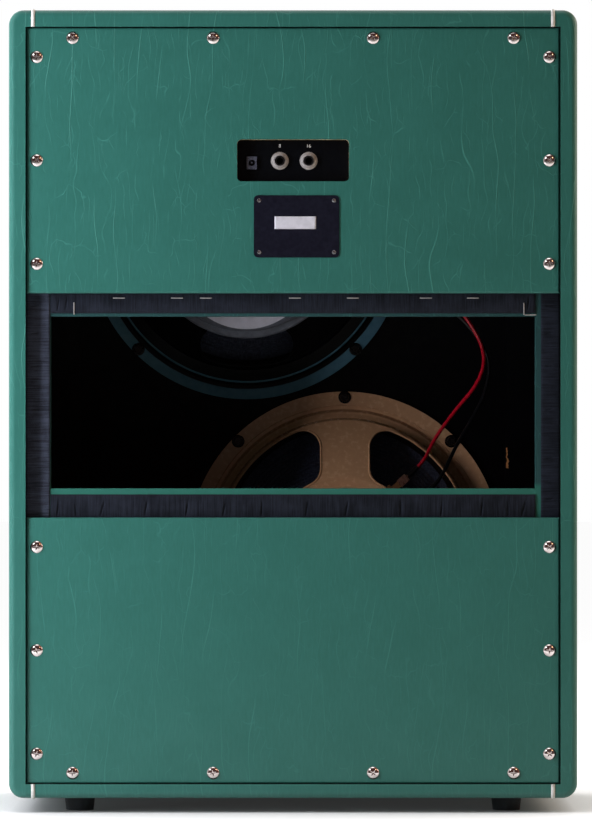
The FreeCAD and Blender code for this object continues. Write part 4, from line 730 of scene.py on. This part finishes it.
# %% [markdown]
# ## Building finishes from nodes
# Every finish below is worked out by shader nodes, so it has the right scale wherever it lies. Nodes could
# be placed in the editor, but a few short helpers keep a long chain readable here. A socket knows the
# node tree that it belongs to, so most helpers need only the sockets that they connect.

# %% Nodes, groups and finishes
finishes = {}


def connect(socket, value):
    """Feed a socket from another socket, or set it to a plain value."""
    if isinstance(value, bpy.types.NodeSocket):
        socket.id_data.links.new(value, socket)
    else:
        socket.default_value = value


def add(tree, kind, inputs, **settings):
    """A shader node; inputs gives each socket a value, or the output that feeds it."""
    made = tree.nodes.new("ShaderNode" + kind)
    for name, value in settings.items():
        setattr(made, name, value)
    for key, value in inputs.items():
        connect(made.inputs[key], value)
    return made


def feed(node, **sockets):
    """Connect or set inputs of a node by name; an underscore stands for a space."""
    for label, value in sockets.items():
        connect(node.inputs[label.replace("_", " ")], value)


def effect(name, outputs, **inputs):
    """An empty node group: its tree, the sockets of its inputs and the node that takes its outputs."""
    tree = bpy.data.node_groups.new(name, "ShaderNodeTree")
    for label, value in inputs.items():
        socket = tree.interface.new_socket(label, in_out="INPUT", socket_type="NodeSocketFloat")
        socket.default_value = value
    for label in outputs:
        tree.interface.new_socket(label, in_out="OUTPUT", socket_type="NodeSocketFloat")
    return tree, tree.nodes.new("NodeGroupInput").outputs, tree.nodes.new("NodeGroupOutput")


def use(tree, group, **inputs):
    """The outputs of a group that is placed in a tree with its own values."""
    made = tree.nodes.new("ShaderNodeGroup")
    made.node_tree = group
    feed(made, **inputs)
    return made.outputs


def finish_of(name):
    """A new finish, kept under its name: its node tree and its surface shader."""
    material = bpy.data.materials.new(name)
    material.use_nodes = True
    finishes[name] = material
    return material.node_tree, material.node_tree.nodes["Principled BSDF"]


print("materials of the bare solids:", len(bpy.data.materials))

# %% [markdown]
# ## Numbers and noises
# A pattern is arithmetic on the place of the shaded point. A picture could be unwrapped onto each piece
# instead, but a noise that reads the place itself has no seams and never repeats. Drawn out along one
# axis it becomes streaks, and a smooth step turns it into patches.


# %% Arithmetic and noise
def where(tree, kind="Object"):
    """The coordinates of the shaded point, or its Normal."""
    return add(tree, "TexCoord", {}).outputs[kind]


def parts(vector):
    """The X, Y and Z of a vector."""
    return add(vector.id_data, "SeparateXYZ", {0: vector}).outputs


def by_parts(operation, vector, other):
    """Arithmetic on each part of a vector."""
    return add(vector.id_data, "VectorMath", {0: vector, 1: other}, operation=operation).outputs[0]


def calc(operation, first, second=0.0):
    """Arithmetic on numbers, of which the first comes from a socket."""
    return add(first.id_data, "Math", {0: first, 1: second}, operation=operation).outputs[0]


def times(first, second):
    return calc("MULTIPLY", first, second)


def plus(first, second):
    return calc("ADD", first, second)


def weighted(first, second, share):
    """The mean of two numbers, in which the first has the given share."""
    return plus(times(first, share), times(second, 1 - share))


def either(choice, first, second):
    """The first number where the choice is 0, the second where it is 1."""
    return add(choice.id_data, "Mix", {0: choice, 2: first, 3: second}).outputs[0]


def step(value, low, high, start=0.0, end=1.0):
    """A smooth step from start to end while the value goes from low to high."""
    ends = {"Value": value, "From Min": low, "From Max": high, "To Min": start, "To Max": end}
    return add(value.id_data, "MapRange", ends, interpolation_type="SMOOTHSTEP").outputs["Result"]


def clouds(vector, scale, detail=2.0):
    """A noise between 0 and 1; the larger the scale, the finer it is."""
    sockets = {"Vector": vector, "Scale": scale, "Detail": detail}
    return add(vector.id_data, "TexNoise", sockets).outputs["Fac"]


def streaky(vector, scales, detail=2.0):
    """A noise with its own scale along each axis, so that it is drawn out where that is small."""
    return clouds(by_parts("MULTIPLY", vector, scales), 1.0, detail)


print("helpers for patterns:", [helper.__name__ for helper in (step, clouds, streaky)])

# %% [markdown]
# ## Colours and relief
# A paint is easiest to judge as it looks on a screen, but a shader reckons with linear light. Colours could
# be written in linear values at once, but then no one could picture them. So one helper translates, two
# mix paints, and one tilts the surface by a height.


# %% Paints and bumps
def paint(red, green, blue):
    """A colour given as on a screen, 0 to 255, in the linear values that a shader takes."""
    shade = np.array([red, green, blue]) / 255
    linear = np.where(shade <= 0.04045, shade / 12.92, ((shade + 0.055) / 1.055) ** 2.4)
    return (*linear.tolist(), 1.0)


def between(factor, first, second):
    """A colour between two colours."""
    return add(factor.id_data, "Mix", {0: factor, 6: first, 7: second}, data_type="RGBA").outputs[2]


def shades(value, low, high, dark, light):
    """A colour that goes from dark to light while the value goes from low to high."""
    return between(step(value, low, high), paint(*dark), paint(*light))


def relief(height, reach, strength=1.0):
    """A surface normal tilted by a height that varies by reach, in metres."""
    sockets = {"Height": height, "Distance": reach, "Strength": strength}
    return add(height.id_data, "Bump", sockets).outputs[0]


print("white as linear values:", paint(255, 255, 255))

# %% [markdown]
# ## Crinkled vinyl
# The green covering is a vinyl pressed to look like leather: long, thin creases that run up and down, fine
# hairs between them, and fainter arcs across. A picture of it would repeat. The borders of Voronoi cells
# join into a net, so they serve only for the arcs, with most of the net hidden by a noise. Stripes do
# not join: a stripe pattern whose phase is pushed to and fro by a noise gives long lines that sway and
# never meet. A further noise lets them fade out, and towards the floor they are fainter.

# %% Group: creases and grain of vinyl
# A normal with more than this in X, Y or Z belongs to a face that looks that way.
LEANS = 0.71
LINE_WIDTH = 0.0006
crinkle, _, crinkle_end = effect("vinyl_crinkle", ("Crease", "Mottle", "Height"))
spot = parts(where(crinkle))
facing = parts(where(crinkle, "Normal"))
on_side = calc("GREATER_THAN", calc("ABSOLUTE", facing[0]), LEANS)
on_top = calc("GREATER_THAN", calc("ABSOLUTE", facing[2]), LEANS)
across = either(on_side, spot[0], spot[1])
upward = either(on_top, spot[2], spot[1])
sheet = add(crinkle, "CombineXYZ", {0: across, 1: upward}).outputs[0]


def swaying_lines(per_metre, sway, sway_scales, shown_scales, shown_from):
    """Thin upright lines, so many to the metre. One noise sways them by some of their distances, and they
    show only where another noise is high."""
    push = streaky(sheet, sway_scales, 1.6)
    phase = plus(times(across, per_metre), times(push, sway))
    off = calc("ABSOLUTE", calc("SUBTRACT", calc("FRACT", phase), 0.5))
    edge = LINE_WIDTH * per_metre
    line = step(off, 0.2 * edge, edge, 1.0, 0.0)
    return times(line, step(streaky(sheet, shown_scales), shown_from, shown_from + 0.16))


creases = swaying_lines(46.0, 2.4, (13.0, 6.0, 1.0), (26.0, 9.0, 1.0), 0.45)
hairs = swaying_lines(140.0, 4.5, (34.0, 15.0, 1.0), (80.0, 28.0, 1.0), 0.46)
wobble = add(crinkle, "TexNoise", {"Vector": sheet, "Scale": 40.0}).outputs["Color"]
bent = by_parts("ADD", by_parts("MULTIPLY", sheet, (46.0, 27.0, 1.0)), wobble)
cells = {"Vector": bent, "Scale": 1.0}
net = add(crinkle, "TexVoronoi", cells, feature="DISTANCE_TO_EDGE", voronoi_dimensions="2D")
border = step(net.outputs["Distance"], 0.004, 0.022, 1.0, 0.0)
arcs = times(border, step(clouds(sheet, 42.0), 0.47, 0.62))
finer = calc("MAXIMUM", times(hairs, 0.55), times(arcs, 0.6))
clear = step(spot[2], 0.2, 0.5, 0.55, 1.0)
crease = times(calc("MAXIMUM", creases, finer), clear)
streaks = streaky(sheet, (420.0, 90.0, 1.0), 3.0)
grain = clouds(sheet, 1300.0)
feed(
    crinkle_end,
    Crease=crease,
    Mottle=weighted(streaks, clouds(sheet, 22.0, 3.0), 0.5),
    Height=plus(plus(crease, times(grain, 0.25)), times(streaks, 0.5)),
)
print("vinyl group nodes:", len(crinkle.nodes))

# %% [markdown]
# ## Small unevenness and dust
# Paint, plastic, rubber and plated metal are never quite even: their colour drifts, and fine grains
# catch the light. Two noises of different size give that to all of them. Dust settles on what faces
# up, so a second group looks at the height part of the surface's direction.

# %% Groups: speckle and dust
speckle, speckle_in, speckle_end = effect("speckle", ("Tone", "Grain"), Scale=200.0)
there = where(speckle)
coarse = speckle_in["Scale"]
feed(speckle_end, Tone=clouds(there, coarse, 4.0), Grain=clouds(there, times(coarse, 9.0)))

dust, dust_in, dust_end = effect("dust", ("Dust",), Amount=0.5)
upness = step(parts(where(dust, "Normal"))[2], 0.25, 0.95)
lying = step(clouds(where(dust), 90.0, 5.0), 0.3, 0.75)
feed(dust_end, Dust=times(times(upness, lying), dust_in["Amount"]))


def dusted(colour, amount):
    """A colour with some grey dust on it."""
    return between(use(colour.id_data, dust, Amount=amount)["Dust"], colour, paint(128, 122, 114))


print("groups:", [group.name for group in bpy.data.node_groups])

# %% [markdown]
# ## Woven threads
# The grille is a plain weave: threads in two directions that pass over and under each other in turn.
# Two sine waves across the cloth give the round threads, and the sign of their product says which one
# is on top. The cloth's own flat map keeps the threads straight where it bends.

# %% Group: plain weave
weave, weave_in, weave_end = effect("plain_weave", ("Thread", "Warp"), Pitch=0.0016)
flat = parts(add(weave, "UVMap", {}, uv_map="flat").outputs[0])
phases = [calc("DIVIDE", times(flat[index], math.pi), weave_in["Pitch"]) for index in (0, 1)]
waves = [calc("SINE", phase) for phase in phases]
warp_on_top = calc("GREATER_THAN", times(*waves), 0.0)
ridges = [calc("POWER", calc("ABSOLUTE", wave), 0.6) for wave in waves]
feed(weave_end, Thread=either(warp_on_top, *ridges), Warp=warp_on_top)
print("weave nodes:", len(weave.nodes))

# %% [markdown]
# ## Finish of the covering
# The green drifts a little from place to place, and the creases are paler than the rest, because the
# pressing thins the colour there. Colour alone would look printed, so the same creases also tilt the
# surface a little. Above the lower brace the wraps of the cleats and of the upper brace are painted darker:
# painted shade, for edges that catch less light than the wrap of the lower brace.


# %% Green vinyl
def vinyl_finish(name, greens, crease_green, reach, shine, shaded_above=None):
    """Creases of their own green on a drift between two greens, or on a first green below the given level
    and a second one above it, which is painted shade where the wraps catch less light."""
    tree, shader = finish_of(name)
    lines = use(tree, crinkle)
    if shaded_above is None:
        body = shades(lines["Mottle"], 0.3, 0.7, *greens)
    else:
        body = shades(parts(where(tree))[2], shaded_above, shaded_above + 0.006, *greens)
    feed(
        shader,
        Base_Color=between(lines["Crease"], body, paint(*crease_green)),
        Roughness=step(lines["Mottle"], 0.25, 0.75, 0.5, 0.4),
        Normal=relief(lines["Height"], reach),
        Specular_IOR_Level=shine,
    )


vinyl_finish("green_vinyl", ((44, 105, 94), (50, 112, 101)), (65, 132, 120), 0.00014, 0.5)
# Painted shade: above the lower brace the wraps get a darker grey-green, as if in shade.
vinyl_finish("wrap_vinyl", ((46, 108, 94), (38, 72, 72)), (58, 104, 98), 0.0001, 0.35, shaded_above=0.306)
print("made", list(finishes))

# %% [markdown]
# ## Paint, plastic and rubber
# Most other pieces share one recipe: a colour that drifts between two near tones, a roughness that drifts
# with it, a fine grain, and some dust on top. They could all be one material with many switches, but a
# function that builds each from the shared groups keeps every finish on its own.

# %% Even finishes from the shared groups
TONE_SPAN = (0.32, 0.68)


def even_finish(name, dark, light, rough, scale, reach, dusty=0.0, shine=0.5):
    """A drift between two colours and two roughnesses, a grain of the given reach, dust on top, and how
    strongly the surface mirrors, which is 0.5 for most paints and plastics."""
    tree, shader = finish_of(name)
    even = use(tree, speckle, Scale=scale)
    colour = shades(even["Tone"], *TONE_SPAN, dark, light)
    feed(
        shader,
        Base_Color=dusted(colour, dusty) if dusty else colour,
        Roughness=step(even["Tone"], 0.3, 0.7, *rough),
        Normal=relief(plus(even["Tone"], times(even["Grain"], 0.35)), reach),
        Specular_IOR_Level=shine,
    )
    return tree, shader


BLACK_WOOD = dict(
    dark=(6, 6, 8), light=(11, 11, 13), rough=(0.62, 0.82), scale=90.0, reach=0.00025, dusty=0.1, shine=0.2
)
even_finish("black_board", (8, 8, 9), (14, 13, 14), (0.6, 0.8), 60.0, 0.0002, dusty=0.12, shine=0.2)
even_finish("black_wood", **BLACK_WOOD)
even_finish("white_piping", (216, 214, 206), (240, 239, 233), (0.35, 0.5), 150.0, 0.0001)
even_finish("black_rubber", (26, 29, 31), (38, 42, 44), (0.7, 0.85), 240.0, 0.0002, dusty=0.2)
even_finish("black_plate", (6, 8, 11), (10, 12, 15), (0.3, 0.42), 400.0, 0.00005, shine=0.12)
even_finish("rating_plate", (20, 21, 32), (26, 27, 39), (0.3, 0.42), 300.0, 0.00004, shine=0.2)
even_finish("black_screws", (5, 5, 6), (9, 9, 10), (0.2, 0.3), 500.0, 0.00003, shine=0.3)
even_finish("black_plastic", (13, 13, 14), (22, 22, 23), (0.45, 0.6), 900.0, 0.0001, dusty=0.12)
even_finish("socket_plastic", (64, 66, 78), (76, 78, 90), (0.4, 0.5), 600.0, 0.00004)
even_finish("tan_steel", (206, 157, 116), (212, 163, 121), (0.24, 0.28), 240.0, 0.00003)
even_finish("gasket_board", (28, 26, 24), (42, 38, 34), (0.8, 0.95), 300.0, 0.00015)
even_finish("ferrite", (76, 80, 88), (92, 96, 104), (0.55, 0.72), 160.0, 0.00012, dusty=0.25)
even_finish("yoke_paint", (66, 70, 77), (78, 82, 90), (0.45, 0.6), 160.0, 0.00006, dusty=0.2)
even_finish("pale_label", (180, 180, 190), (192, 192, 202), (0.45, 0.6), 120.0, 0.00004)
even_finish("sticker_paper", (204, 203, 210), (216, 215, 222), (0.5, 0.65), 180.0, 0.00003)
even_finish("terminal_board", (92, 62, 38), (112, 78, 48), (0.45, 0.6), 260.0, 0.00005)
even_finish("red_insulation", (140, 8, 26), (158, 12, 31), (0.25, 0.36), 220.0, 0.00006)
even_finish("black_insulation", (7, 7, 8), (12, 12, 14), (0.3, 0.42), 220.0, 0.00006, shine=0.3)
even_finish("white_ink", (214, 214, 210), (234, 234, 230), (0.5, 0.6), 700.0, 0.00002)
even_finish("coil_former", (140, 92, 46), (166, 112, 60), (0.4, 0.55), 200.0, 0.00005)
print("finishes so far:", len(finishes))

# %% [markdown]
# ## Bright metal
# Screw heads, nuts and rivets are bare or plated metal. Its colour is what it mirrors, so the finish is
# only a metallic tint and how sharp the mirror is: hairline scuffs make it duller in thin streaks.


# %% Plated metals
def metal_finish(name, dark, light, sharp, dull, scuff, metallic=1.0):
    """A drift between two metal tints, with roughness from sharp to dull along a drawn-out noise."""
    tree, shader = finish_of(name)
    even = use(tree, speckle, Scale=scuff)
    scratches = streaky(where(tree), (2600.0, 900.0, 260.0), 3.0)
    feed(
        shader,
        Base_Color=shades(even["Tone"], 0.35, 0.7, dark, light),
        Roughness=step(times(scratches, even["Tone"]), 0.1, 0.5, sharp, dull),
        Normal=relief(even["Grain"], 0.00002, 0.4),
        Metallic=metallic,
    )


metal_finish("chrome", (206, 196, 194), (226, 217, 214), 0.06, 0.2, 300.0)
metal_finish("zinc", (168, 168, 164), (196, 196, 192), 0.28, 0.5, 260.0)
metal_finish("bright_rivets", (180, 180, 182), (206, 206, 208), 0.2, 0.4, 400.0)
metal_finish("satin_nickel", (186, 182, 180), (208, 204, 200), 0.35, 0.5, 400.0, metallic=0.5)
metal_finish("plated_steel", (150, 148, 140), (176, 174, 166), 0.25, 0.5, 140.0)
metal_finish("tinned_brass", (178, 172, 154), (204, 198, 182), 0.25, 0.45, 300.0)
print("finishes with the metals:", len(finishes))

# %% [markdown]
# ## Loop cloth
# The seal strips are loop cloth with fine ribs across their length. The ribs could be modelled, but they
# are hardly wider than a pixel here, so a noise squeezed in one direction tilts the surface instead.
# Loose fibres make it rough, and a little sheen lights up its nap. The left strip is painted paler: painted
# light against the shadow that the rim of the case throws on it.

# %% Loop cloth, level, upright and painted paler
ALONG_X = (850.0, 300.0, 40.0)
ALONG_Z = (40.0, 300.0, 850.0)


def loop_cloth(name, ribs, dark=(15, 18, 24), light=(38, 42, 52)):
    """Dark loop cloth: ribs across it from a noise squeezed in one direction, and loose fibres."""
    tree, shader = finish_of(name)
    there = where(tree)
    fibre = clouds(there, 1500.0, 3.0)
    nap = weighted(streaky(there, ribs), fibre, 0.7)
    feed(
        shader,
        Base_Color=shades(weighted(nap, clouds(there, 70.0, 3.0), 0.7), 0.34, 0.66, dark, light),
        Roughness=step(fibre, 0.3, 0.7, 0.85, 1.0),
        Normal=relief(nap, 0.0005, 0.8),
        Specular_IOR_Level=0.2,
        Sheen_Weight=0.08,
        Sheen_Roughness=0.5,
    )


loop_cloth("loop_cloth_level", ALONG_X)
loop_cloth("loop_cloth_upright", ALONG_Z)
# Painted light: a paler copy for the left strip, which lies in the shadow of the rim.
loop_cloth("loop_cloth_painted_paler", ALONG_Z, (34, 38, 48), (76, 82, 98))
print("loop cloths:", [name for name in finishes if name.startswith("loop")])

# %% [markdown]
# ## Weave of the grille
# The grille is a charcoal cloth with pale flecks in its warp. A picture of it would look flat from the
# side, so the weave of the group above gives the cloth both its colour and its height.

# %% Grille weave
tree, shader = finish_of("grille_weave")
threads = use(tree, weave, Pitch=0.0015)
fleck = streaky(where(tree), (260.0, 1.0, 900.0))
warp_tone = shades(fleck, 0.52, 0.66, (38, 36, 35), (132, 126, 116))
yarn = between(threads["Warp"], warp_tone, paint(52, 49, 46))
feed(
    shader,
    Base_Color=between(step(threads["Thread"], 0.1, 0.75), paint(9, 9, 9), yarn),
    Roughness=step(threads["Thread"], 0.0, 1.0, 0.95, 0.75),
    Normal=relief(threads["Thread"], 0.0004),
    Sheen_Weight=0.15,
)
print("nodes of the grille's finish:", len(tree.nodes))

# %% [markdown]
# ## Fibres of paper and ring cloth
# The cones are felted paper, and the rings that carry them are stiffened cloth. Single fibres would be far
# too many to model. Fibres that lie across each other look like the larger of two noises that are drawn
# out in two directions, and that gives all four finishes.


# %% Cone paper and ring cloth
def fibre_finish(name, dark, light, fibres, reach):
    """Felted or woven fibres: short streaks in two crossing directions, rough all over."""
    tree, shader = finish_of(name)
    there = where(tree)
    one_way = streaky(there, (fibres, fibres, fibres * 0.2), 3.0)
    other_way = streaky(there, (fibres * 0.2, fibres, fibres), 3.0)
    fibre = calc("MAXIMUM", one_way, other_way)
    feed(
        shader,
        Base_Color=shades(fibre, 0.42, 0.72, dark, light),
        Roughness=step(fibre, 0.4, 0.7, 0.95, 0.8),
        Normal=relief(fibre, reach),
    )


fibre_finish("cone_paper", (46, 50, 64), (68, 74, 92), 900.0, 0.00012)
fibre_finish("cap_paper", (16, 16, 18), (30, 30, 32), 900.0, 0.00015)
fibre_finish("treated_cloth", (15, 15, 16), (30, 29, 28), 1400.0, 0.0001)
fibre_finish("spider_cloth", (150, 112, 56), (178, 138, 78), 1400.0, 0.0001)
print("finishes with cloth and paper:", len(finishes))

# %% [markdown]
# ## Plywood edges
# The back panels are plywood and show its layers on their edges. The layers could be thin solids, but they
# lie one behind the other in the depth of a panel, so a sine of the depth can tint them.

# %% Plywood
PLY_PAIR = 0.0026
tree, shader = finish_of("panel_plywood")
there = where(tree)
figure = streaky(there, (14.0, 60.0, 160.0), 4.0)
plies = calc("SINE", times(parts(there)[1], 2 * math.pi / PLY_PAIR))
wood = shades(figure, 0.3, 0.7, (196, 164, 118), (222, 194, 150))
feed(
    shader,
    Base_Color=between(step(plies, -0.1, 0.3, 0.0, 0.6), wood, paint(150, 112, 72)),
    Roughness=step(figure, 0.3, 0.7, 0.6, 0.78),
    Normal=relief(figure, 0.0001),
)
print("two plies measure", PLY_PAIR)

# %% [markdown]
# ## A chipped cleat
# A strip of paint is chipped off the right baffle cleat, and bare wood shows. A sliver of wood could be
# laid on it, but a chip does not stand out. So on the faces that look back, a narrow window of places
# gets the colour of wood, and a noise lets it wander.

# %% Chipped cleat
CHIP_LINE = 0.2103
CHIP_WIDTH = 0.0009
CHIP_WANDER = 0.007
CHIP_HEIGHTS = (0.3224, 0.3424)
tree, shader = even_finish("chipped_cleat", **BLACK_WOOD)
there = where(tree)
spot = parts(there)
faces_back = calc("LESS_THAN", parts(where(tree, "Normal"))[1], -LEANS)
wander = times(calc("SUBTRACT", clouds(there, 210.0), 0.5), CHIP_WANDER)
off = calc("ABSOLUTE", calc("SUBTRACT", plus(spot[0], wander), CHIP_LINE))
on_line = times(calc("LESS_THAN", off, CHIP_WIDTH), faces_back)
above = calc("GREATER_THAN", spot[2], CHIP_HEIGHTS[0])
below = calc("LESS_THAN", spot[2], CHIP_HEIGHTS[1])
painted = shader.inputs["Base Color"].links[0].from_socket
feed(shader, Base_Color=between(times(on_line, times(above, below)), painted, paint(214, 146, 92)))
print("chip between the levels", CHIP_HEIGHTS)

# %% [markdown]
# ## A basket in two colours
# The upper speaker's basket is slate blue on its flange and black elsewhere, and a thin slate ring on one
# bead is a painted highlight, where that bead catches light. It could be parted into two pieces, but it is
# one pressing with two paints, and the border is a circle. So the distance from the speaker's axis chooses
# the paint.

# %% Upper basket
FLANGE_PAINT_FROM = 0.1462
PAINT_EDGE = 0.0004
BEAD_HIGHLIGHT = (0.1385, 0.1405)
tree, shader = finish_of("upper_basket_paint")
even = use(tree, speckle, Scale=130.0)
axis = (SPEAKERS["upper"][0], 0.0, SPEAKERS["upper"][1])
spoke = by_parts("MULTIPLY", by_parts("SUBTRACT", where(tree), axis), (1.0, 0.0, 1.0))
radius = add(tree, "VectorMath", {0: spoke}, operation="LENGTH").outputs["Value"]
slate = shades(even["Tone"], *TONE_SPAN, (82, 124, 142), (90, 132, 150))
black = shades(even["Tone"], *TONE_SPAN, (6, 7, 9), (10, 11, 13))
on_flange = step(radius, FLANGE_PAINT_FROM - PAINT_EDGE, FLANGE_PAINT_FROM + PAINT_EDGE)
# Painted highlight: a thin slate ring where the bead catches light.
painted_bead_highlight = times(calc("LESS_THAN", radius, BEAD_HIGHLIGHT[1]), calc("GREATER_THAN", radius, BEAD_HIGHLIGHT[0]))
enamel = between(calc("MAXIMUM", on_flange, painted_bead_highlight), black, slate)
feed(
    shader,
    Base_Color=dusted(enamel, 0.1),
    Roughness=step(even["Tone"], 0.3, 0.7, 0.34, 0.42),
    Normal=relief(even["Tone"], 0.00006),
    Specular_IOR_Level=0.1,
)
print("finishes:", len(finishes))

# %% [markdown]
# ## Dressing the solids
# Every solid of the cabinet now gets its finish by name, and so do the new pieces. The solids keep their
# shape and place: only the material in their slot changes.

# %% Finishes by piece
COVERED = ("top", "bottom", "left", "right", "upper_panel", "lower_panel")
DRESS = {
    "green_vinyl": tuple(f"{place}_covering" for place in COVERED),
    "wrap_vinyl": ("cleat_wraps",),
    "black_board": ("top_board", "bottom_board", "left_side_board", "right_side_board"),
    "black_wood": ("panel_cleats", "upper_brace", "lower_brace", "baffle_board", "grille_frame"),
    "chipped_cleat": ("baffle_cleats",),
    "panel_plywood": ("upper_back_panel", "lower_back_panel"),
    "white_piping": ("white_piping",),
    "black_rubber": ("rubber_feet",),
    "zinc": ("foot_screws",),
    "chrome": ("cross_head_screws",),
    "black_plate": ("jack_plate",),
    "rating_plate": ("rating_plate",),
    "bright_rivets": ("plate_rivets",),
    "satin_nickel": ("jack_nuts", "staples"),
    "black_screws": ("black_screws", "speaker_bolts", "bolt_washers"),
    "black_plastic": ("left_handle_cup", "right_handle_cup", "input_jack", "link_jack"),
    "socket_plastic": ("dc_socket",),
    "gasket_board": ("speaker_gaskets", "grille_pads"),
    "upper_basket_paint": ("upper_basket", "upper_window_lips"),
    "tan_steel": ("lower_basket", "lower_window_lips"),
    "cone_paper": ("upper_cone", "lower_cone"),
    "cap_paper": ("upper_dust_cap", "lower_dust_cap"),
    "coil_former": ("upper_voice_coil", "lower_voice_coil"),
    "plated_steel": ("top_plates",),
    "yoke_paint": ("magnet_yokes",),
    "ferrite": ("upper_magnet", "lower_magnet"),
    "pale_label": ("magnet_label",),
    "terminal_board": ("terminal_strips",),
    "tinned_brass": ("spade_terminals",),
    "red_insulation": ("wire_lower_red", "wire_upper_red"),
    "black_insulation": ("wire_lower_black", "wire_upper_black", *(piece.name for piece in sleeves)),
    "sticker_paper": ("blank_sticker",),
    "white_ink": tuple(piece.name for piece in numerals),
    "loop_cloth_upright": ("seal_right",),
    "loop_cloth_painted_paler": ("seal_left",),
    "loop_cloth_level": ("seal_top", "seal_bottom", "seal_upper_brace", "seal_lower_brace"),
    "grille_weave": ("grille_weave",),
    "treated_cloth": tuple(piece.name for piece in rings["surround"]),
    "spider_cloth": tuple(piece.name for piece in rings["spider"]),
}
dressed = set()
for finish, names in DRESS.items():
    for name in names:
        piece = NODES.get(name) or bpy.data.objects[name]
        if not piece.material_slots:
            piece.data.materials.append(finishes[finish])
        for slot in piece.material_slots:
            slot.material = finishes[finish]
        dressed.add(name)
bare = [name for name, solid in NODES.items() if name not in dressed and not solid.hide_render]
print("dressed:", len(dressed), "left bare:", bare)

# %% [markdown]
# ## The studio
# The photograph has a white ground. A white world would give it, but it would also light the object from
# all sides and bleach its colours. So the world is white only to the camera, and lights the object with a
# weak grey. In mirror images it is a room: bright on the left, brick red on the right, and dark toward the
# camera, which gives the screws their dark middles.

# %% World
WHITE = (1.0, 1.0, 1.0, 1.0)
FILL = (0.062, 0.062, 0.062, 1.0)
LEFT_WALL = (1.8, 1.8, 1.8, 1.0)
RIGHT_WALL = paint(215, 130, 98)
CAMERA_WALL = paint(84, 58, 56)


def ray_kinds(tree):
    """Two factors: whether a ray comes from the camera, and whether it makes a mirror image."""
    rays = add(tree, "LightPath", {}).outputs
    return rays["Is Camera Ray"], calc("MAXIMUM", rays["Is Glossy Ray"], rays["Is Transmission Ray"])


world = bpy.data.worlds.new("studio")
scene.world = world
world.use_nodes = True
tree = world.node_tree
from_camera, mirrored = ray_kinds(tree)
direction = parts(where(tree, "Generated"))
walls = between(step(direction[0], -0.3, 0.6), LEFT_WALL, RIGHT_WALL)
room = between(step(direction[1], -0.45, 0.3), CAMERA_WALL, walls)
around = between(mirrored, FILL, room)
feed(tree.nodes["Background"], Color=between(from_camera, around, WHITE))
print("world fill:", FILL[:3])

# %% [markdown]
# ## The floor
# A white floor would throw the lamps' light back at the object. So the floor is a matt grey that also
# glows, but only to the camera and, near the object, in mirror images. How open the sky above a point
# is sets its glow, which makes the soft shadow under the case.

# %% Floor
FLOOR_HALF = 15.0
FLOOR_LEVEL = -0.0005
FLOOR_GREY = (0.6, 0.6, 0.6, 1.0)
FLOOR_GLOW = 0.93
SHADOW_REACH = 0.22
SHADOW_POWER = 1.6
DARKEST = 0.025
mesh = bpy.data.meshes.new("floor")
corners = np.array([(-1, -1), (1, -1), (1, 1), (-1, 1)]) * FLOOR_HALF
mesh.from_pydata(np.c_[corners, np.full(4, FLOOR_LEVEL)].tolist(), [], [(0, 1, 2, 3)])
floor = in_scene("floor", mesh)
tree, shader = finish_of("floor_white")
tree.nodes.remove(shader)
from_camera, mirrored = ray_kinds(tree)
near = step(parts(where(tree))[1], -1.0, -0.35)
looks = calc("MAXIMUM", from_camera, times(mirrored, near))
openness = add(tree, "AmbientOcclusion", {"Distance": SHADOW_REACH}).outputs["AO"]
shade = calc("MAXIMUM", calc("POWER", openness, SHADOW_POWER), DARKEST)
glow = times(shade, times(looks, FLOOR_GLOW))
matt = add(tree, "BsdfDiffuse", {"Color": FLOOR_GREY}).outputs[0]
lit = add(tree, "Emission", {"Color": WHITE, "Strength": glow}).outputs[0]
feed(tree.nodes["Material Output"], Surface=add(tree, "AddShader", {0: matt, 1: lit}).outputs[0])
mesh.materials.append(finishes["floor_white"])
print("floor half side:", FLOOR_HALF)

# %% [markdown]
# ## Lamps
# The lights of the photograph stand on either side, both far round, so that the walls of the case shade
# most of the inside. On each side one softbox stands high, and its image shows in the screws, and one
# tall strip stands near and has no image. The left ones are cool and strong, the right ones warm and
# weak. Three more lamps serve the right side, the top and the front.


# %% Lamps
def softbox(name, place, target, width, height, watts, tint=(1.0, 1.0, 1.0), shiny=True):
    """A rectangular lamp that faces its target and is not itself seen by the camera. Its image shows in
    shiny surfaces only if it is to."""
    light = bpy.data.lights.new(name, "AREA")
    light.shape = "RECTANGLE"
    light.size = width
    light.size_y = height
    light.energy = watts
    light.color = tint
    lamp = in_scene(name, light)
    aim = np.array(target, float) - place
    yaw = math.atan2(-aim[0], aim[1])
    pitch = math.atan2(math.hypot(aim[0], aim[1]), -aim[2])
    lamp.location = place
    lamp.rotation_euler = (pitch, 0, yaw)
    lamp.visible_camera = False
    lamp.visible_glossy = shiny
    return lamp


MIDDLE = (0.0, 0.0, 0.42)
COOL = (0.88, 1.0, 1.02)
WARM = (1.0, 0.66, 0.36)
SUNNY = (1.0, 0.88, 0.76)
lamps = [
    softbox("left_softbox", (-1.9, -1.4, 2.1), MIDDLE, 0.8, 0.8, 8.5, COOL),
    softbox("left_strip", (-0.91, -0.6, 0.4), MIDDLE, 0.32, 1.5, 18.6, (1.0, 1.0, 1.1), shiny=False),
    softbox("right_softbox", (1.75, -1.35, 2.0), MIDDLE, 0.45, 0.45, 3.4, WARM),
    softbox("right_strip", (1.4, -0.88, 0.5), MIDDLE, 0.16, 1.0, 2.2, WARM, shiny=False),
    softbox("side_softbox", (2.4, 0.3, 1.3), MIDDLE, 1.2, 1.2, 30.0, SUNNY),
    softbox("top_softbox", (0.0, -0.2, 2.6), MIDDLE, 1.2, 1.2, 7.5),
    softbox("front_softbox", (-1.2, 2.6, 1.6), MIDDLE, 1.4, 1.4, 30.0),
]
print("lamps:", [lamp.name for lamp in lamps])

# %% Update the scene
bpy.context.view_layer.update()
